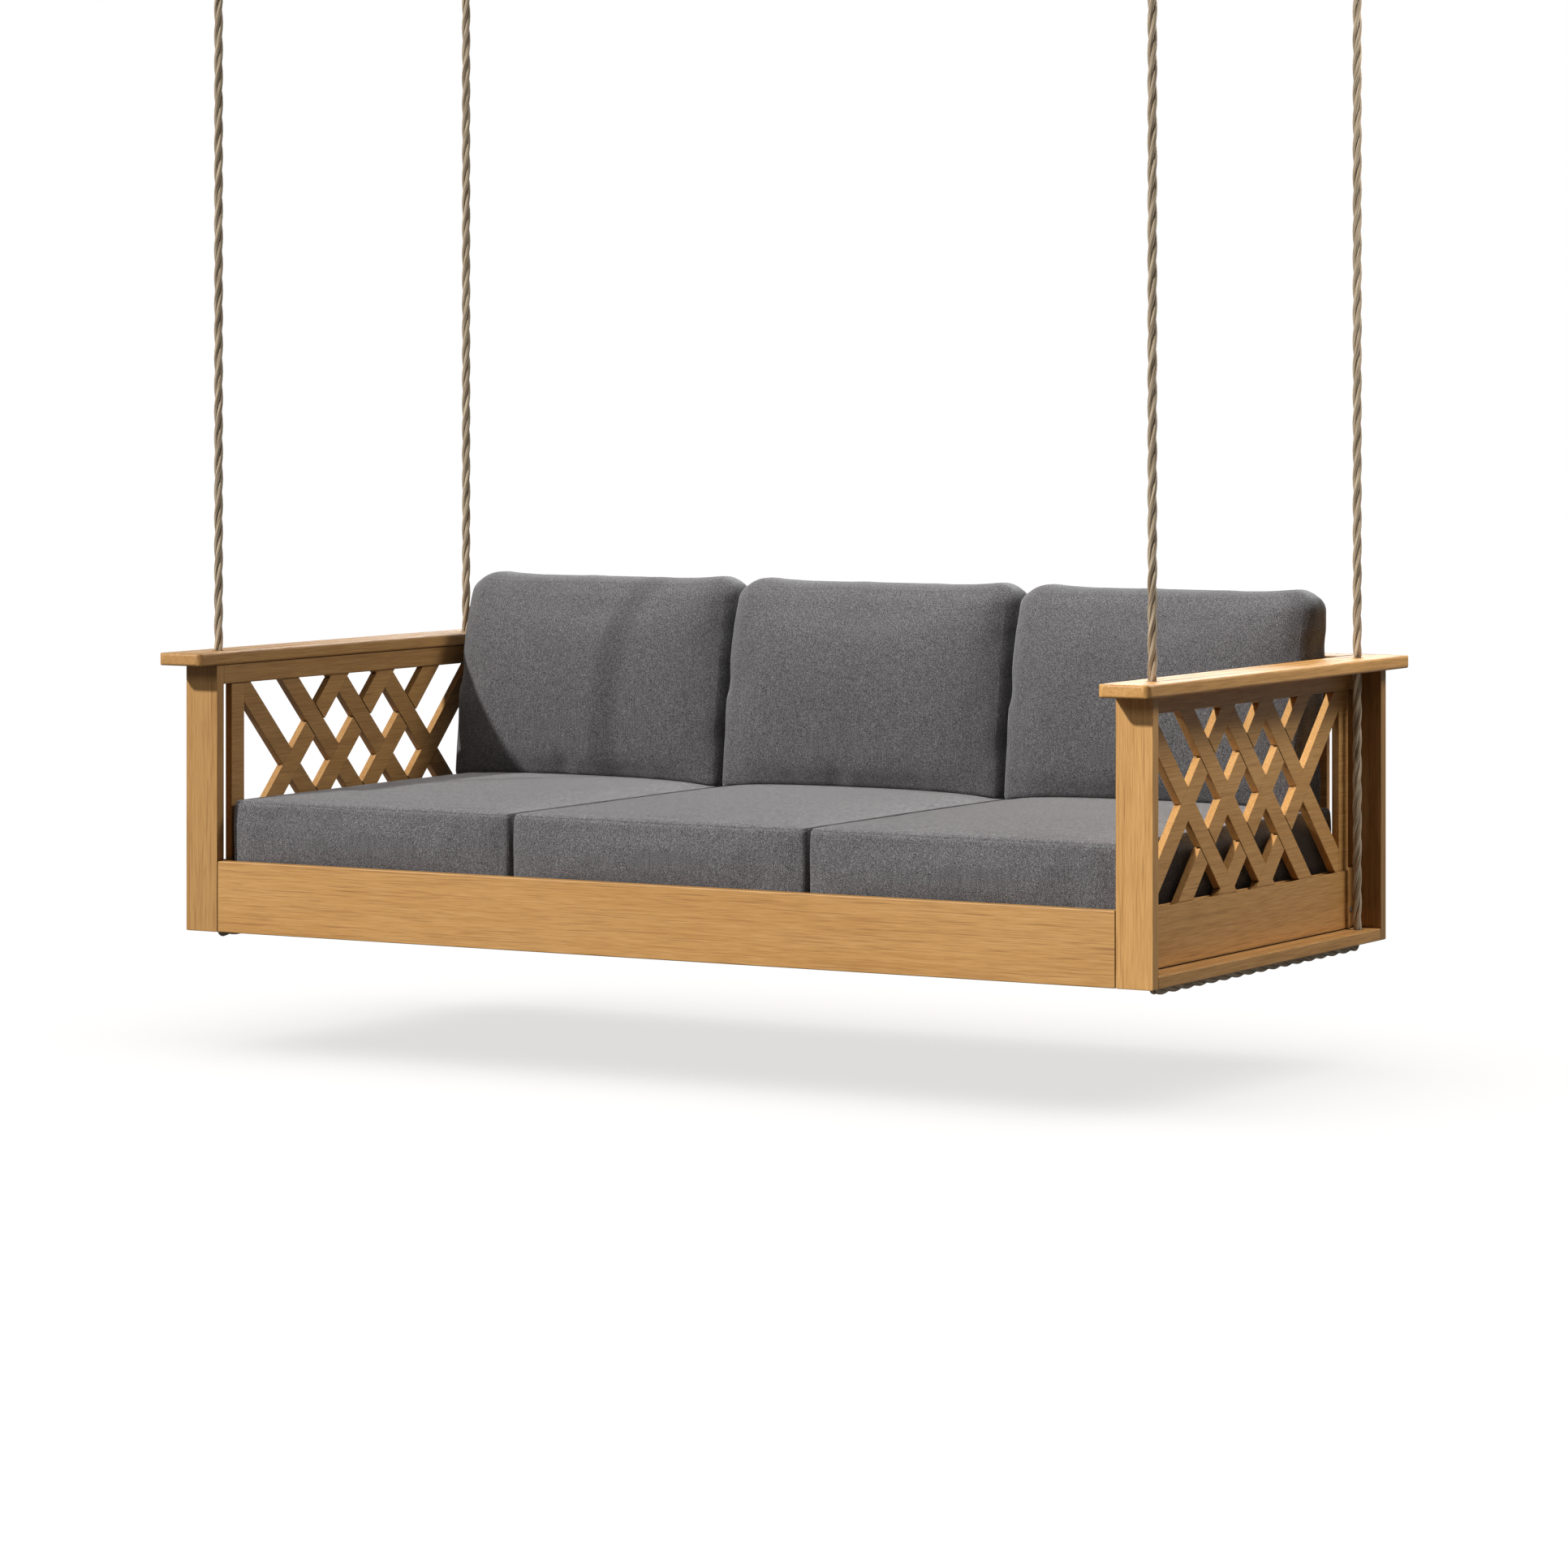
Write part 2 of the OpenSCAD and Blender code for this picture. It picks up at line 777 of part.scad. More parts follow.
module bracket_pins() {
    grip = ear_gap + 2 * ear;
    color(steel)
        for (side = [left, right], end = [front, rear])
            translate([side * rope_x, end * rope_y, -pin_depth])
                rotate([0, 90 * side, 0]) {
                    cylinder(d = pin, h = grip + 2 * nut_height, center = true);
                    translate([0, 0, grip / 2])
                        cylinder(d = head_width, h = head_height, $fn = 6);
                    translate([0, 0, -grip / 2 - nut_height])
                        cylinder(d = nut_width, h = nut_height, $fn = 6);
                }
}

// Grooved metal drop that keeps the rope's eye round: an arc, and two legs that nearly meet
thimble_lip = 6;
thimble_side = 2.2;
thimble_slit = 1.6;
leg_root = 0.1; // how far a leg runs into the arc
module thimble(side, end) {
    reach = thimble_inner / tan(leg_lean) - thimble_slit;
    color(steel)
        translate([side * rope_x, end * rope_y, eye_z])
            rotate([90, 0, 90]) {
                rotate([0, 0, -leg_lean])
                    rotate_extrude(angle = 180 + 2 * leg_lean)
                        thimble_section();
                for (turn = [0, 1])
                    mirror([turn, 0, 0])
                        rotate([90, 0, -leg_lean])
                            translate([0, 0, -leg_root])
                                linear_extrude(height = reach + leg_root)
                                    thimble_section();
            }
}

// Channel that is open away from the eye's middle
module thimble_section() {
    half = rope / 2 + seat_play;
    translate([thimble_inner, -half - thimble_side])
        square([groove_wall, 2 * (half + thimble_side)]);
    for (low = [-half - thimble_side, half])
        translate([thimble_inner, low])
            square([thimble_lip, thimble_side]);
}

// Pressed sleeve round the rope and its tail
ferrule_wall = 3;
ferrule_play = 0.15;
module ferrule(side, end) {
    wall = ferrule_wall;
    hole = rope / 2 + ferrule_play;
    color(steel)
        translate([side * rope_x, end * rope_y, ferrule_top - ferrule_length])
            difference() {
                linear_extrude(height = ferrule_length)
                    union() {
                        for (s = [-1, 1])
                            translate([0, s * leg_gap])
                                circle(hole + wall);
                        square([2 * (hole + wall), 2 * leg_gap], center = true);
                    }
                for (s = [-1, 1])
                    translate([0, s * leg_gap, -over])
                        cylinder(r = hole, h = ferrule_length + 2 * over);
            }
}

// ---------- What is drawn ----------

ceiling_brackets();
bracket_pins();
free_rope(right, front);  // rope_front_right
free_rope(left, front);  // rope_front_left
free_rope(left, rear);  // rope_rear_left
free_rope(right, rear);  // rope_rear_right
thimble(right, front);  // thimble_front_right
thimble(left, front);  // thimble_front_left
thimble(left, rear);  // thimble_rear_left
thimble(right, rear);  // thimble_rear_right
ferrule(right, front);  // ferrule_front_right
ferrule(left, front);  // ferrule_front_left
ferrule(left, rear);  // ferrule_rear_left
ferrule(right, rear);  // ferrule_rear_right
cradle_rope(right);  // cradle_rope_right
cradle_rope(left);  // cradle_rope_left
post(right, front);  // post_front_right
post(left, front);  // post_front_left
post(left, rear);  // post_rear_left
post(right, rear);  // post_rear_right
apron(front);  // front_apron
apron(rear);  // rear_apron
ledge(right);  // ledge_right
ledge(left);  // ledge_left
arm(right);  // arm_right
arm(left);  // arm_left
back_cap();
side_top_rail(right);  // side_top_rail_right
side_top_rail(left);  // side_top_rail_left
side_bottom_rail(right);  // side_bottom_rail_right
side_bottom_rail(left);  // side_bottom_rail_left
stile(right, front);  // stile_front_right
stile(left, front);  // stile_front_left
stile(left, rear);  // stile_rear_left
stile(right, rear);  // stile_rear_right
side_slats_at(right, 1);  // rising_slats_right
side_slats_at(left, 1);  // rising_slats_left
side_slats_at(right, -1);  // falling_slats_right
side_slats_at(left, -1);  // falling_slats_left
back_top_rail();
back_stile(right);  // back_stile_right
back_stile(left);  // back_stile_left
back_slats_at(1);  // back_rising_slats
back_slats_at(-1);  // back_falling_slats
corner_blocks();
corner_screws();
ledger_at(front);  // front_ledger
ledger_at(rear);  // rear_ledger
seat_beam(0, inner_x);  // centre_stringer
seat_slats();
seat_cushion(1);  // seat_cushion_right
seat_cushion(0);  // seat_cushion_middle
seat_cushion(-1);  // seat_cushion_left
back_cushion(1);  // back_cushion_right
back_cushion(0);  // back_cushion_middle
back_cushion(-1);  // back_cushion_left
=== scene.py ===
import math

import bpy
import numpy as np
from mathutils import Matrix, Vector
from mathutils.kdtree import KDTree


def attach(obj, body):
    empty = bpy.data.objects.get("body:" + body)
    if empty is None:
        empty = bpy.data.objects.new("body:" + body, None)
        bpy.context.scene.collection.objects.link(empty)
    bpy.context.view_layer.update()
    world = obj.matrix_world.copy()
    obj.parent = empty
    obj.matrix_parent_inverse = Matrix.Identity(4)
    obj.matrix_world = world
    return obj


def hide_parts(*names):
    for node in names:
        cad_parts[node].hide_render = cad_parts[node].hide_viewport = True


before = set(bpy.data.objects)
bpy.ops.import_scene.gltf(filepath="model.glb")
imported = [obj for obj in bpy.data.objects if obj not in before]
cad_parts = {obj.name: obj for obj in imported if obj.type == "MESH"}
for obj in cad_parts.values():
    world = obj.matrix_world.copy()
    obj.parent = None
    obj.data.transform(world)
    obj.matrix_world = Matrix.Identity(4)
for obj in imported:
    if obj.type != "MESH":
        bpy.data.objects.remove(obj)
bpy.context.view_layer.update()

# A hanging swing bed: ropes, cushions, materials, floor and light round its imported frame.
# Lengths are in metres. The origin is on the ceiling, +X right, +Y back, +Z up.

scene = bpy.context.scene

# ---------- Places, as the CAD source has them ----------
BED_Z = -1.998                 # underside of the posts
ROPE_X, ROPE_Y = 0.9695, 0.4215
ROPE = 0.016
PIVOT_Z = -1.480               # where a free rope turns in the arm
FOOT_Z = PIVOT_Z - 0.00784     # its lower end, in the arm hole
EYE_Z, EYE_RADIUS, LEG_LEAN = -0.0438, 0.0248, 22
LEG_GAP = 0.0085               # from the middle to each leg of the eye, in the ferrule
LEG_LOW_Z = -0.08896
TAIL_Z = -0.15496
BEND = 0.017                   # radius of the cradle's bends
CRADLE_TOP = BED_Z + 0.5097
CRADLE_LOW = BED_Z - 0.0083
SEAT_TOP = BED_Z + 0.2443
SEAT_LOW = BED_Z + 0.0963

# ---------- Camera ----------
AZIMUTH = math.radians(29.97)
CAMERA_PLACE = (5.2367, -9.0716, -0.9115)
LENS, SENSOR, SHIFT_Y = 130.33, 36, -0.2794

camera_data = bpy.data.cameras.new("camera")
camera_data.lens = LENS
camera_data.sensor_width = SENSOR
camera_data.shift_y = SHIFT_Y
camera = bpy.data.objects.new("camera", camera_data)
camera.location = CAMERA_PLACE
camera.rotation_euler = (math.pi / 2, 0, AZIMUTH)
scene.collection.objects.link(camera)
scene.camera = camera


def new_object(name, verts, faces, smooth=True):
    mesh = bpy.data.meshes.new(name)
    mesh.from_pydata([tuple(v) for v in verts], [], faces)
    mesh.update()
    if smooth:
        mesh.shade_smooth()
    obj = bpy.data.objects.new(name, mesh)
    scene.collection.objects.link(obj)
    return obj


# ---------- Ropes ----------
LAY = 0.150                    # one turn of a strand
STRANDS, STRAND_SIDES = 3, 12
STRAND, STRAND_OFFSET = 0.0045, 0.0040     # a strand's radius, and its place off the middle
FOOT_TIP = ROPE * 0.14         # the foot narrows to a blunt end over this length
FOOT_SHARES = (0.20, 0.68, 0.94)           # of its full size: at the end, past the tip, in the arm
STRAIGHT_STEP, LEG_STEP, SHAFT_STEP, BEND_STEP, TIP_STEP = 0.008, 0.004, 0.0025, 0.0022, 0.0012
SWAY_LOW, SWAY_HIGH = 0.060, 0.010         # the rope leans off its middle here, under the tail
SWAY_COUNT = 14


def straight(a, b, step=STRAIGHT_STEP):
    """Points from a to just before b."""
    count = max(1, round(math.dist(a, b) / step))
    return [tuple(p + (q - p) * i / count for p, q in zip(a, b)) for i in range(count)]


def arc(centre, radius, start, end):
    """Points round a centre from one angle in degrees to just before another."""
    count = max(2, round(abs(math.radians(end - start)) * radius / BEND_STEP))
    turns = [math.radians(start + (end - start) * i / count) for i in range(count)]
    return [(centre[0] + radius * math.cos(t), centre[1] + radius * math.sin(t)) for t in turns]


def sway(a, b):
    """A gentle double bend from a to just before b, both ends upright."""
    shares = [i / SWAY_COUNT for i in range(SWAY_COUNT)]
    return [
        (a[0] + (b[0] - a[0]) * s * s * (3 - 2 * s), a[1] + (b[1] - a[1]) * s) for s in shares
    ]


def free_route():
    """(y, z) from the foot in the arm, up, round the eye and down to the tail."""
    low, joined = (0, TAIL_Z - SWAY_LOW), (-LEG_GAP, TAIL_Z - SWAY_HIGH)
    lean = math.radians(LEG_LEAN)
    side_y, side_z = EYE_RADIUS * math.cos(lean), EYE_Z - EYE_RADIUS * math.sin(lean)
    return (
        straight((0, FOOT_Z), (0, FOOT_Z + FOOT_TIP), TIP_STEP)
        + straight((0, FOOT_Z + FOOT_TIP), (0, PIVOT_Z), SHAFT_STEP)
        + straight((0, PIVOT_Z), low)
        + sway(low, joined)
        + straight(joined, (-LEG_GAP, LEG_LOW_Z))
        + straight((-LEG_GAP, LEG_LOW_Z), (-side_y, side_z), LEG_STEP)
        + arc((0, EYE_Z), EYE_RADIUS, 180 + LEG_LEAN, -LEG_LEAN)
        + straight((side_y, side_z), (LEG_GAP, LEG_LOW_Z), LEG_STEP)
        + straight((LEG_GAP, LEG_LOW_Z), (LEG_GAP, TAIL_Z))
        + [(LEG_GAP, TAIL_Z)]
    )


def cradle_route():
    """(y, z) down from the front hole, under the ledge and up to the rear hole."""
    bend_y, bend_z = ROPE_Y - BEND, CRADLE_LOW + BEND
    return (
        straight((-ROPE_Y, CRADLE_TOP), (-ROPE_Y, bend_z))
        + arc((-bend_y, bend_z), BEND, 180, 270)
        + straight((-bend_y, CRADLE_LOW), (bend_y, CRADLE_LOW))
        + arc((bend_y, bend_z), BEND, -90, 0)
        + straight((ROPE_Y, bend_z), (ROPE_Y, CRADLE_TOP))
        + [(ROPE_Y, CRADLE_TOP)]
    )


def along(route):
    """How far each point of a route is from its start."""
    steps = [math.dist(a, b) for a, b in zip(route, route[1:])]
    return np.concatenate([[0], np.cumsum(steps)])


def foot_share(gone):
    """How much of its full size the rope has in its arm hole."""
    return float(np.interp(gone, (0, FOOT_TIP, PIVOT_Z - FOOT_Z), FOOT_SHARES))


def rope_object(name, route, x, y, phase, foot=False):
    """Strands laid right-handed round the route; the strand's own angle and its way along
    are its UV map, in turns and metres."""
    gone = along(route)
    in_foot = PIVOT_Z - FOOT_Z + 1e-6 if foot else -1
    verts, faces, uvs = [], [], []
    count = len(route)
    for strand in range(STRANDS):
        first = len(verts)
        for i, (py, pz) in enumerate(route):
            before, after = route[max(i - 1, 0)], route[min(i + 1, count - 1)]
            ty, tz = after[0] - before[0], after[1] - before[1]
            size = math.hypot(ty, tz)
            ty, tz = ty / size, tz / size
            turn = phase + 2 * math.pi * (gone[i] / LAY + strand / STRANDS)
            full = foot_share(gone[i]) if gone[i] <= in_foot else 1
            cx, out = STRAND_OFFSET * full * math.cos(turn), STRAND_OFFSET * full * math.sin(turn)
            for k in range(STRAND_SIDES):
                angle = turn + 2 * math.pi * k / STRAND_SIDES
                rx = cx + STRAND * full * math.cos(angle)
                rb = out + STRAND * full * math.sin(angle)
                verts.append((x + rx, y + py + rb * tz, pz - rb * ty))
        for i in range(count - 1):
            for k in range(STRAND_SIDES):
                n = (k + 1) % STRAND_SIDES
                a, b = first + i * STRAND_SIDES, first + (i + 1) * STRAND_SIDES
                faces.append((a + k, a + n, b + n, b + k))
                u0, u1 = strand + k / STRAND_SIDES, strand + (k + 1) / STRAND_SIDES
                v0, v1 = gone[i], gone[i + 1]
                uvs += [(u0, v0), (u1, v0), (u1, v1), (u0, v1)]
        last = first + (count - 1) * STRAND_SIDES
        faces.append(tuple(first + k for k in reversed(range(STRAND_SIDES))))
        faces.append(tuple(last + k for k in range(STRAND_SIDES)))
        uvs += [(strand, 0)] * STRAND_SIDES + [(strand, gone[-1])] * STRAND_SIDES
    obj = new_object(name, verts, faces)
    layer = obj.data.uv_layers.new(name="strand")
    layer.uv.foreach_set("vector", np.array(uvs, dtype=np.float32).ravel())
    return obj


SIDES = {"right": 1, "left": -1}
ENDS = {"front": -1, "rear": 1}
START_TURN = 0.6               # where a strand stands at the front pivot, in radians
FREE, CRADLE = free_route(), cradle_route()
rope_objects = []
for side_name, side in SIDES.items():
    start = START_TURN * side
    for end_name, end in ENDS.items():
        corner = f"{end_name}_{side_name}"
        phase = start if end < 0 else 2 * math.pi * along(CRADLE)[-1] / LAY - start
        x, y = side * ROPE_X, end * ROPE_Y
        rope = rope_object(f"rope_strands_{corner}", FREE, x, y, phase, foot=True)
        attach(rope, f"rope_{corner}")
        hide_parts(f"rope_{corner}")
        rope_objects.append(rope)
    cradle = rope_object(f"cradle_strands_{side_name}", CRADLE, side * ROPE_X, 0, -start)
    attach(cradle, "bed")
    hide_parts(f"cradle_rope_{side_name}")
    rope_objects.append(cradle)


# ---------- Node trees ----------
class Nodes:
    """A node tree with short calls. A value is a constant, or another node's output given
    as (node, output)."""

    def __init__(self, tree):
        self.tree = tree
        tree.nodes.clear()

    def node(self, kind, **values):
        made = self.tree.nodes.new("ShaderNode" + kind)
        for key, value in values.items():
            setattr(made, key, value)
        return made

    @staticmethod
    def is_output(value):
        return isinstance(value, tuple) and isinstance(value[0], bpy.types.Node)

    def feed(self, value, node, into):
        if self.is_output(value):
            self.tree.links.new(value[0].outputs[value[1]], node.inputs[into])
        else:
            node.inputs[into].default_value = value

    def coordinates(self, scale, shift, uv):
        """The object's own coordinates, or those of a UV map, shifted and scaled."""
        source = (self.node("UVMap", uv_map=uv), "UV") if uv else (self.node("TexCoord"), "Object")
        mapping = self.node("Mapping")
        self.feed(source, mapping, "Vector")
        self.feed(scale, mapping, "Scale")
        self.feed(shift, mapping, "Location")
        return mapping, "Vector"

    def noise(self, scale, detail=3, roughness=0.5, distortion=0, shift=(0, 0, 0), uv=None):
        """Noise whose grains are 1 / scale metres long each way."""
        made = self.node("TexNoise")
        self.feed(self.coordinates(scale, shift, uv), made, "Vector")
        for into, value in (("Scale", 1), ("Detail", detail), ("Roughness", roughness),
                            ("Distortion", distortion)):
            self.feed(value, made, into)
        return made, "Fac"

    def occlusion_shade(self, distance):
        """How open a place is, for painted shade: 1 on open faces, and less in joints
        and grooves up to this distance wide.
        """
        made = self.node("AmbientOcclusion", samples=6)
        self.feed(distance, made, "Distance")
        return made, "AO"

    def math(self, kind, a, b):
        made = self.node("Math", operation=kind)
        self.feed(a, made, 0)
        self.feed(b, made, 1)
        return made, "Value"

    def plus(self, a, b):
        return self.math("ADD", a, b)

    def less(self, a, b):
        return self.math("SUBTRACT", a, b)

    def times(self, a, b):
        return self.math("MULTIPLY", a, b)

    def range(self, value, low, high, to_low, to_high):
        made = self.node("MapRange")
        for into, number in (("Value", value), ("From Min", low), ("From Max", high),
                             ("To Min", to_low), ("To Max", to_high)):
            self.feed(number, made, into)
        return made, "Result"

    def mix(self, factor, a, b):
        """Colour a turning into colour b."""
        made = self.node("Mix", data_type="RGBA")
        self.feed(factor, made, 0)
        for value, into in ((a, 6), (b, 7)):
            self.feed(value if self.is_output(value) else (*value, 1), made, into)
        return made, 2


def new_material(name):
    material = bpy.data.materials.new(name)
    material.use_nodes = True
    return material


class Shader(Nodes):
    """A material with a principled surface."""

    def __init__(self, name, **constants):
        self.material = new_material(name)
        super().__init__(self.material.node_tree)
        self.surface = self.node("BsdfPrincipled")
        self.feed((self.surface, "BSDF"), self.node("OutputMaterial"), "Surface")
        for key, value in constants.items():
            self.feed(value, self.surface, key.replace("_", " "))

    def finish(self, colour, height, distance, strength, roughness=None):
        self.feed(colour, self.surface, "Base Color")
        bump = self.node("Bump")
        self.feed(distance, bump, "Distance")
        self.feed(strength, bump, "Strength")
        self.feed(height, bump, "Height")
        self.feed((bump, "Normal"), self.surface, "Normal")
        if roughness:
            self.feed(roughness, self.surface, "Roughness")
        return self.material


def linear(red, green, blue):
    """Scene colour of an sRGB colour given from 0 to 255."""
    return tuple(
        (c / 255 / 12.92) if c / 255 <= 0.04045 else ((c / 255 + 0.055) / 1.055) ** 2.4
        for c in (red, green, blue)
    )


# ---------- Materials ----------
def wood(name, axis, seed, tone):
    """Oiled wood with its grain along one axis: long streaks and fine wavy ribs under a
    thin coat, with shade painted darker where boards meet. A tone over or under 1 paints
    a board paler or darker, as painted light or shade."""
    s = Shader(name, Specular_IOR_Level=0.40, Coat_Weight=0.15, Coat_Roughness=0.32)
    shift = (seed * 3.17, seed * 1.73, seed * 2.31)

    def grain(across, length, **more):
        scale = [across] * 3
        scale[axis] = length
        return s.noise(scale, shift=shift, **more)

    def shade(red, green, blue):
        return [c * tone for c in linear(red, green, blue)]

    broad = grain(11, 1.2, detail=2)
    streak = grain(120, 2.4, detail=4, roughness=0.65, distortion=0.12)
    rib = grain(430, 15, detail=3, roughness=0.62, distortion=0.06)
    line = grain(520, 8, detail=1, distortion=0.05)
    pore = grain(900, 60, detail=1)
    layers = (                 # what a layer follows, from where to where, its shares, its shade
        (streak, 0.52, 0.70, 0, 0.50, (178, 124, 62)),
        (streak, 0.30, 0.46, 0.35, 0, (224, 173, 106)),
        (rib, 0.50, 0.70, 0, 0.46, (160, 110, 54)),
        (rib, 0.32, 0.48, 0.34, 0, (234, 186, 122)),
        (line, 0.60, 0.72, 0, 0.50, (138, 90, 42)),
        # painted shade: darker in joints and grooves, where ambient occlusion finds them
        (s.occlusion_shade(0.009), 0.32, 0.84, 0.88, 0, (60, 36, 16)),
    )
    colour = s.mix(s.range(broad, 0.32, 0.68, 0, 1), shade(201, 147, 80), shade(212, 160, 94))
    for source, low, high, at_low, at_high, rgb in layers:
        colour = s.mix(s.range(source, low, high, at_low, at_high), colour, shade(*rgb))
    height = s.less(s.times(pore, -0.25), rib)
    return s.finish(colour, height, distance=0.0006, strength=0.22,
                    roughness=s.range(rib, 0.3, 0.7, 0.54, 0.64))


def weave(name, seed, tone):
    """Heathered plain weave: dashes of thread along both of a face's ways, slubs that run
    up the upright faces and along the flat ones, and specks."""
    s = Shader(name, Roughness=0.9, Specular_IOR_Level=0.15, Sheen_Weight=0.60,
               Sheen_Roughness=0.35, Sheen_Tint=(0.95, 0.95, 0.95, 1))
    shift = (seed * 1.3, seed * 0.7, seed * 2.1)
    facing = s.node("SeparateXYZ")
    s.feed((s.node("NewGeometry"), "Normal"), facing, "Vector")

    def faces_along(axis):
        return s.times((facing, axis), (facing, axis))

    threads = 0
    for i, axis in enumerate("XYZ"):
        scale = [900] * 3
        scale[i] = 480
        dash = s.noise(scale, detail=2, roughness=0.75, distortion=0.15,
                       shift=[c + i for c in shift])
        threads = s.plus(threads, s.times(s.less(1.0, faces_along(axis)), dash))
    flatness = faces_along("Z")
    upright = s.noise((560, 560, 40), detail=1, shift=shift)
    flat = s.noise((560, 60, 560), detail=1, shift=shift)
    slub = s.plus(s.times(upright, s.less(0.8, s.times(flatness, 0.8))),
                  s.times(flat, s.times(flatness, 3.0)))
    slub = s.less(slub, s.times(flatness, 1.1))
    speck = s.noise((640, 640, 640), detail=2, roughness=0.9, shift=shift)
    cloud = s.noise((6, 6, 6), detail=2, shift=shift)
    heather = s.plus(s.plus(threads, s.times(speck, 1.2)), s.times(slub, 0.30))
    dark, middle, pale, cloudy = (
        [c * tone for c in linear(grey + 1, grey - 1, grey)] for grey in (56, 99, 156, 78)
    )
    colour = s.mix(s.range(heather, 1.49, 1.74, 0, 1), dark, middle)
    colour = s.mix(s.range(heather, 1.74, 1.99, 0, 1), colour, pale)
    colour = s.mix(s.range(cloud, 0.3, 0.7, 0.0, 0.16), colour, cloudy)
    return s.finish(colour, heather, distance=0.0008, strength=0.5)


def rope_material():
    """Twisted fibre: yarns that run along each strand, with loose paler hairs, and shade
    painted darker in the grooves between the strands."""
    s = Shader("rope_fibre", Roughness=0.8, Specular_IOR_Level=0.25, Sheen_Weight=0.2)
    yarn = s.noise((9, 14, 1), detail=3, roughness=0.65, distortion=0.3, uv="strand")
    fleck = s.noise((1300, 1300, 500), detail=2, roughness=0.7)
    cloud = s.noise((1.2, 20, 1), detail=2, uv="strand")
    colour = s.mix(s.range(yarn, 0.36, 0.64, 0, 1), linear(118, 100, 78), linear(206, 188, 160))
    colour = s.mix(s.range(fleck, 0.54, 0.74, 0, 0.4), colour, linear(110, 92, 70))
    colour = s.mix(s.range(cloud, 0.3, 0.7, 0, 0.20), colour, linear(180, 158, 128))
    # painted shade in the grooves between the strands, where ambient occlusion finds them
    colour = s.mix(s.range(s.occlusion_shade(0.005), 0.45, 0.92, 0.85, 0), colour, linear(66, 52, 38))
    height = s.plus(yarn, s.times(fleck, 0.3))
    return s.finish(colour, height, distance=0.0007, strength=0.5)


def metal(name, colour, blotch_scale, rough):
    """Zinc coated or cast metal, a little dull, with faint blotches."""
    s = Shader(name, Metallic=1.0)
    blotch = s.noise((blotch_scale,) * 3, detail=4, roughness=0.6)
    fine = s.noise((1300,) * 3, detail=2)
    tone = s.mix(s.range(blotch, 0.35, 0.65, 0, 1), [c * 0.82 for c in colour], colour)
    return s.finish(tone, fine, distance=0.0002, strength=0.3,
                    roughness=s.range(blotch, 0.3, 0.7, rough, rough + 0.18))


wood_materials = {}


def wood_for(axis, seed, tone):
    """The wood of boards with this grain, cut and tone, made once."""
    key = (axis, seed, tone)
    if key not in wood_materials:
        wood_materials[key] = wood(f"wood_{'xyz'[axis]}_{seed}_{tone}", axis, seed, tone)
    return wood_materials[key]


X, Y, Z = range(3)
GRAIN = {                      # which way the grain runs, by the start of a node's name
    "post_": Z, "front_apron": X, "rear_apron": X, "ledge_": Y, "arm_": Y, "back_cap": X,
    "side_top_rail_": Y, "side_bottom_rail_": Y, "stile_": Y, "rising_slats_": Y,
    "falling_slats_": Y, "back_top_rail": X, "back_stile_": X, "back_rising_slats": X,
    "back_falling_slats": X, "corner_blocks": Z, "front_ledger": X, "rear_ledger": X,
    "centre_stringer": X, "seat_slats": Y,
}
LIGHT_AND_SHADE_TONE = {                       # boards painted darker where they lie in shade, or paler where light falls on them
    "post_front_left": 0.78, "post_rear_right": 0.62, "post_front_right": 1.02,
    "arm_left": 0.82, "arm_right": 1.11, "front_apron": 0.91, "stile_front_left": 0.74,
    "stile_rear_left": 0.74, "side_top_rail_left": 0.74, "side_top_rail_right": 0.92,
    "rising_slats_left": 0.80, "falling_slats_left": 0.69,
}
SEEDS = 4                      # boards share this many cuts of wood for each grain and tone
SLAT_EDGE, BOARD_EDGE = 0.0015, 0.0022     # how far sharp edges are eased
STEEL = metal("galvanised_steel", linear(178, 180, 184), 160, 0.34)
ALLOY = metal("cast_alloy", linear(196, 197, 200), 90, 0.28)
SCREW = metal("screw_steel", linear(168, 168, 170), 300, 0.25)


def dress(obj, material):
    obj.data.materials.clear()
    obj.data.materials.append(material)


def repaint(name, material):
    """A CAD node's slots all take the material."""
    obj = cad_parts[name]
    for slot in obj.material_slots:
        slot.material = material
    if not obj.material_slots:
        obj.data.materials.append(material)


def soften(name, width):
    """Eases the sharp edges of a CAD node and keeps its faces flat; its mesh stays as it is."""
    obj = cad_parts[name]
    weld = obj.modifiers.new("weld", "WELD")
    weld.merge_threshold = 1e-5
    bevel = obj.modifiers.new("eased_edges", "BEVEL")
    bevel.width = width
    bevel.segments = 3
    bevel.limit_method = "ANGLE"
    bevel.angle_limit = math.radians(40)
    obj.data.shade_smooth()
    even = obj.modifiers.new("even_normals", "WEIGHTED_NORMAL")
    even.weight = 100


for index, name in enumerate(sorted(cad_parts)):
    grain_axis = next((axis for start, axis in GRAIN.items() if name.startswith(start)), None)
    if grain_axis is not None:
        tone = next((t for start, t in LIGHT_AND_SHADE_TONE.items() if name.startswith(start)), 1.0)
        repaint(name, wood_for(grain_axis, index % SEEDS, tone))
        soften(name, SLAT_EDGE if "slats" in name else BOARD_EDGE)
    elif name.startswith("ferrule"):
        repaint(name, ALLOY)
    elif name.startswith(("ceiling", "bracket", "thimble")):
        repaint(name, STEEL)
    elif name.startswith("corner_screws"):
        repaint(name, SCREW)

ROPE_FIBRE = rope_material()
for rope in rope_objects:
    dress(rope, ROPE_FIBRE)


